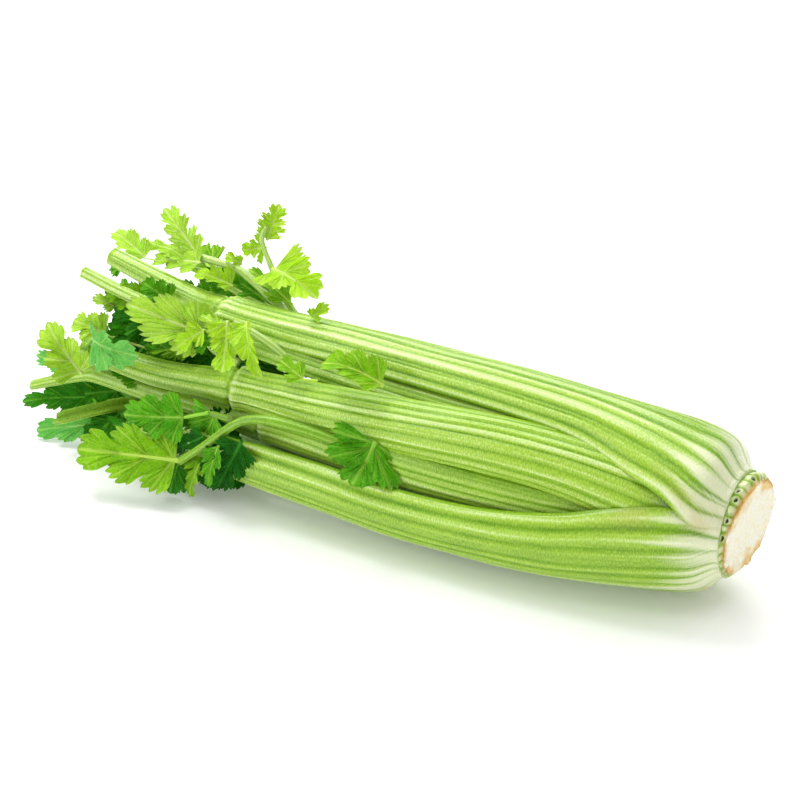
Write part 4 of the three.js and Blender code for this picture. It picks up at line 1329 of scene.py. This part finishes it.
# %% Leaflets at the far left
LEAFLETS |= {
    "leaf_left_end": dict(base=(-161, -15, 20), tip=(-192, -34, 18), width=22, lean=15, arch=3,
                          root=(-152, -21, 20), shape="lobed", green="dark"),
    "leaf_left_dark": dict(base=(-147, -9, 25), tip=(-184, -21, 18), width=28, lean=-10,
                           root=(-139, -9, 22), green="dark"),
    "leaf_left_low": dict(base=(-146, -24, 12.5), tip=(-184, -34, 3), width=20, lean=10,
                          root=(-140, -14, 15), green="blue"),
    "leaf_left_floor": dict(base=(-140, -18, 18), tip=(-152, -31, 4), width=26, root=(-134, -8, 17),
                            green="dark"),
    "leaf_left_pale": dict(base=(-150, -35, 45.5), tip=(-167.5, -38, 71), width=32, lean=-5, arch=5,
                           fold=38, green="pale", ruffle=1.8),
    "leaf_left_small": dict(base=(-168, -23, 39), tip=(-187, -26, 43), width=13, arch=1, shape="small",
                            green="blue"),
    "leaf_left_upper": dict(base=(-148, -16, 60), tip=(-166, -19, 65), width=22, lean=10, arch=1, fold=25,
                            root=(-106, -7, 51), green="pale"),
    "leaf_blue_green": dict(base=(-142.5, -34, 66), tip=(-109, -40, 67), width=26, lean=20, arch=4, fold=20,
                            root=(-149, -31, 58), green="blue"),
}
print("leaflets so far:", len(LEAFLETS))

# %% [markdown]
# In the middle a broad fan and some small bright leaves grow between the stalks, and two lie on them.

# %% Leaflets in the middle
LEAFLETS |= {
    "leaf_fan": dict(base=(-88.5, -16.5, 75.5), tip=(-127.5, -24, 85), width=30, arch=3, fold=12,
                     shape="fan", green="pale"),
    "leaf_fan_dark": dict(base=(-121, -2, 64), tip=(-147, -9, 74), width=34, lean=-10, root=(-108, 2, 62),
                          green="dark"),
    "leaf_small_pale": dict(base=(-80, -24, 82), tip=(-93, -30, 72), width=15, lean=10, arch=1, fold=20,
                            root=(-76, -18.5, 79), shape="small", green="yellow"),
    "leaf_bright_hanging": dict(base=(-67.5, -22, 89), tip=(-60, -39, 70), width=21, arch=-3, fold=12,
                                green="yellow"),
    "leaf_curled": dict(base=(-57.5, -20, 89.5), tip=(-39.5, -35, 71), width=18, lean=25, arch=4, fold=35,
                        shape="lobed", green="yellow", curl=1.0),
    "leaf_over_stalk": dict(base=(-18, -31, 73.5), tip=(-34.5, -27, 78.5), width=13, arch=1, fold=20,
                            root=(-12, -28, 73), shape="small"),
    "leaf_on_stalk": dict(base=(25, -29, 80), tip=(-8.5, -30, 84), width=24, lean=30, arch=5, fold=30),
    "leaf_under_stalk": dict(base=(27, -40, 56), tip=(20, -51, 36), width=44, lean=-8, arch=4, fold=8,
                             shape="fan", green="mid", ruffle=2.2),
}
print("leaflets so far:", len(LEAFLETS))

# %% [markdown]
# The topmost leaves are young and pale, and stand up against the background.

# %% Leaflets on top
LEAFLETS |= {
    "leaf_top_spear": dict(base=(-113.5, 20, 97.5), tip=(-141.5, 30, 114.5), width=17, shape="spear",
                           green="pale"),
    "leaf_top_flat": dict(base=(-111, 17, 96), tip=(-159.5, 33, 90), width=17, lean=45, shape="lobed",
                          green="pale"),
    "leaf_top_left": dict(base=(-146, 18, 90), tip=(-175, 30, 94), width=16, lean=20, fold=20,
                          root=(-111, 25, 88), green="pale"),
    "leaf_top_fan": dict(base=(-72, 25, 97.5), tip=(-41, 18, 91), width=37, lean=-26, arch=3, fold=26,
                         green="yellow"),
    "leaf_top_end": dict(base=(-79, 31, 109.5), tip=(-75.5, 38, 127.5), width=16, arch=1, shape="spear",
                         green="yellow"),
    "leaf_top_side": dict(base=(-78, 28, 107), tip=(-90, 24, 104.5), width=18, arch=-2, fold=15,
                          shape="lobed", green="yellow"),
    "leaf_top_long": dict(base=(-57.5, 20, 83.5), tip=(-90, 29, 92.5), width=15, lean=20, fold=15,
                          shape="lobed"),
    "leaf_shade_upper": dict(base=(-90, 25, 83), tip=(-114, 21, 87), width=18, green="mid"),
}
print("leaflets so far:", len(LEAFLETS))

# %% [markdown]
# Behind the head and in its heart most leaves are dark green, partly painted shade for the shadow there.

# %% Leaflets behind and in the heart
LEAFLETS |= {
    "leaf_back_long": dict(base=(-127, 42, 53), tip=(-165, 50, 44), width=29, lean=200, arch=4,
                           green="mid"),
    "leaf_back_out": dict(base=(-153, 57, 44), tip=(-166, 69, 28), width=24, lean=160, arch=4, fold=12),
    "leaf_back_low": dict(base=(-117, 35, 16), tip=(-146, 52, 8), width=27, lean=150, arch=3, green="dark"),
    "leaf_back_upper": dict(base=(-112, 27, 86), tip=(-138, 48, 84), width=29, lean=150, arch=3, fold=12),
    "leaf_heart_long": dict(base=(-102, -7, 54), tip=(-142, 3, 56), width=29, arch=3, green="dark"),
    "leaf_heart_low": dict(base=(-123, 5, 30), tip=(-160, 14, 28), width=29, lean=10, arch=3, green="dark"),
}
for number, (name, place) in enumerate(LEAFLETS.items()):
    leaf = leaflet(name, seed=7 * number, node=name, **place)
print("leaflets:", len(LEAFLETS), "faces in the last:", len(leaf.data.polygons))

# %% [markdown]
# Between the stems the head is full of small leaves that stayed in the shade. Many are dark and deep green
# sheets set in gaps where there is only shade, painted shade that makes the spaces there look deep and
# green.
# They have no solids of their own in the frame, so they only ride on its body. They can have fewer points,
# because nothing sees them from close by.

# %% Leaflets in the shade
SHADE_FOLD, SHADE_COLUMNS, SHADE_SEED = 12, 6, 300
# painted shade: many of these are dark and deep green sheets set in gaps where there is only shade
SHADE_LEAFLETS = [
    # painted shade: a deep green sheet over the front stalk's far end, where the leaves' shadow falls
    dict(base=(-53.5, -44.5, 36), tip=(-66, -47.5, 9), width=20, lean=-10, green="deep"),
    dict(base=(-53.5, -53, 38.5), tip=(-59, -56, 15.5), width=14, lean=20, fold=25, shape="lobed",
         green="mid"),
    dict(base=(-43, -49, 41.5), tip=(-56, -52, 14), width=23, arch=0, green="deep"),
    dict(base=(-66.5, -47, 37), tip=(-85, -47.8, 25), width=13, arch=0, green="deep", ruffle=0.5),
    dict(base=(-47, -4, 57.5), tip=(-73.5, -8, 60.5), width=18, green="dark"),
    dict(base=(-34, -10, 63), tip=(-53.5, -14, 70), width=12, lean=30, green="mid"),
    dict(base=(-12, -10, 68), tip=(-31.5, -14, 67), width=10, green="dark"),
    dict(base=(-146.5, -8, 72.5), tip=(-157, -14, 78), width=9, shape="small", green="pale"),
    dict(base=(-133, -4, 77), tip=(-152, -10, 81), width=18),
    dict(base=(-113.5, -6, 83), tip=(-127.5, -10, 91.5), width=17, green="mid"),
    dict(base=(-75.5, -20, 78), tip=(-85.5, -27, 72), width=13, shape="small", green="mid"),
    dict(base=(-75.5, -18, 80.5), tip=(-91, -14, 83), width=10, lean=40, shape="small", green="pale"),
    dict(base=(-98.5, -12, 60.5), tip=(-119, -18, 59), width=12, lean=20),
    dict(base=(-84, -2, 56), tip=(-108, -8, 60), width=29, green="dark"),
    dict(base=(-76, 0, 61), tip=(-99, -4, 51), width=29, lean=-15, green="mid"),
    dict(base=(-90, 24, 96.5), tip=(-98.5, 22, 101), width=8, shape="small", green="yellow"),
    dict(base=(-89, 14, 88.5), tip=(-109, 9.5, 93), width=17, lean=30, fold=35, green="yellow"),
    dict(base=(-76, 24, 80), tip=(-97, 27, 86), width=18, green="mid"),
    dict(base=(-33, 0, 90), tip=(-25.5, 4, 97.5), width=10, fold=30, shape="small", green="yellow"),
    dict(base=(-108.5, 14, 97), tip=(-142.5, 20, 88), width=16, lean=30, green="pale"),
    dict(base=(-158, 20, 84), tip=(-168, 16, 77), width=9, shape="small", green="mid"),
    dict(base=(-145, 10, 66), tip=(-163, 16, 72), width=17, green="mid"),
    dict(base=(-78, -30, 12), tip=(-103, -36, 4), width=22, green="dark"),
    dict(base=(-58, -28, 29), tip=(-86, -32, 30), width=32, green="deep"),
    dict(base=(-50, -34, 20), tip=(-75, -40, 9), width=27, lean=20, green="deep"),
    dict(base=(-96, -10, 32), tip=(-118, -15, 30), width=22, green="mid"),
    dict(base=(-111, -4, 26), tip=(-138, -4, 30), width=24, green="dark"),
    dict(base=(-150, 0, 32), tip=(-128, 5, 30), width=16, lean=20, green="mid"),
    dict(base=(-127, -6, 51), tip=(-146.5, -10, 69), width=32, green="dark"),
    dict(base=(-104, -14, 62), tip=(-121.5, -18, 57), width=15, green="mid"),
    dict(base=(-120, -24, 44), tip=(-146, -26, 50), width=16, lean=20, green="mid"),
    dict(base=(-113.5, -20, 21.5), tip=(-143, -24, 12.5), width=27, lean=-25, green="dark"),
    dict(base=(-86, -20, 30), tip=(-113, -28, 32), width=24, green="mid"),
    dict(base=(-90, 2, 40), tip=(-125, -4, 38), width=32, green="dark"),
    dict(base=(-96, 14, 62), tip=(-130, 16, 66), width=29, lean=30, green="mid"),
    dict(base=(-100, 22, 45), tip=(-140, 28, 40), width=32, lean=160, green="dark"),
    dict(base=(-100, 8, 78), tip=(-128, 6, 80), width=22, green="mid"),
    dict(base=(-78, 38, 74), tip=(-108, 52, 70), width=26, lean=160, green="mid"),
    dict(base=(-92, 46, 30), tip=(-122, 60, 22), width=26, lean=150, green="mid"),
    dict(base=(-98, 40, 62), tip=(-132, 56, 66), width=28, lean=170),
    dict(base=(-148, 2, 47), tip=(-165, 0, 50), width=17, green="dark"),
    dict(base=(-138, -4, 25), tip=(-158, -8, 18), width=19, green="dark"),
    dict(base=(-104, 34, 28), tip=(-136, 40, 30), width=30, lean=190, green="dark"),
    dict(base=(-132, 30, 60), tip=(-164, 34, 66), width=26, lean=180, green="dark"),
]
for number, place in enumerate(SHADE_LEAFLETS):
    place = {"fold": SHADE_FOLD, "columns": SHADE_COLUMNS} | place
    leaflet("shade_leaflet_%02d" % (number + 1), seed=SHADE_SEED + 7 * number, **place)
print("leaflets in the shade:", len(SHADE_LEAFLETS))

# %% [markdown]
# ## The table top and the light
# A celery is shown best on a plain pale surface in soft light from all round, and a white world gives that.
# The table top glows faintly, so that it stays white up to the horizon, as paper does in a lit studio.

# %% Table top and world
TABLE_HALF, TABLE_DROP = 4, 0.0002
TABLE_PALENESS, TABLE_GLOW, WORLD_STRENGTH = 0.92, 0.12, 0.32
corners = [(x * TABLE_HALF, y * TABLE_HALF, -TABLE_DROP) for x, y in ((-1, -1), (1, -1), (1, 1), (-1, 1))]
floor_mesh = bpy.data.meshes.new("table_top")
floor_mesh.from_pydata(corners, [], [(0, 1, 2, 3)])
table_top = Finish("pale_table_top", Roughness=0.6, Specular_IOR_Level=0.2, Emission_Strength=TABLE_GLOW,
                   Base_Color=(TABLE_PALENESS,) * 3 + (1,), Emission_Color=(1, 1, 1, 1))
floor_mesh.materials.append(table_top.material)
floor = bpy.data.objects.new("table_top", floor_mesh)
bpy.context.scene.collection.objects.link(floor)

world = bpy.data.worlds.new("studio")
bpy.context.scene.world = world
world.use_nodes = True
background = world.node_tree.nodes["Background"]
background.inputs["Color"].default_value = (1, 1, 1, 1)
background.inputs["Strength"].default_value = WORLD_STRENGTH
print("table top", 2 * TABLE_HALF, "m wide")

# %% [markdown]
# Over the head hangs a very broad sun lamp, which lays a soft shadow, and a large window lamp behind puts a
# gloss on the ribs. Three more disks lighten the front, the upper sides and the sliced root.

# %% Lamps
def lamp(name, kind, place, power, **settings):
    """A lamp at a place in metres that points at the middle of the head."""
    light = bpy.data.lights.new(name, kind)
    light.energy = power
    for setting, value in settings.items():
        setattr(light, setting, value)
    made = bpy.data.objects.new(name, light)
    made.location = place
    made.rotation_euler = (Vector(place) - VIEW_TARGET).to_track_quat("Z", "Y").to_euler()
    bpy.context.scene.collection.objects.link(made)


lamp("sky_light", "SUN", (-0.15, 0.2, 1.2), 1.55, angle=math.radians(80))
lamp("fill_light", "AREA", (-0.8, -0.9, 0.5), 6.2, shape="DISK", size=0.9)
lamp("side_light", "AREA", (-0.5, -0.05, 0.95), 2.6, shape="DISK", size=0.3)
lamp("root_light", "AREA", (1.1, -0.7, 0.5), 2.0, shape="DISK", size=0.6)
lamp("window_light", "AREA", (-0.3, 0.7, 0.85), 7.5, shape="DISK", size=0.8)
bpy.context.scene.view_settings.view_transform = "Standard"
print("lamps:", [light.name for light in bpy.data.lights])

# %% [markdown]
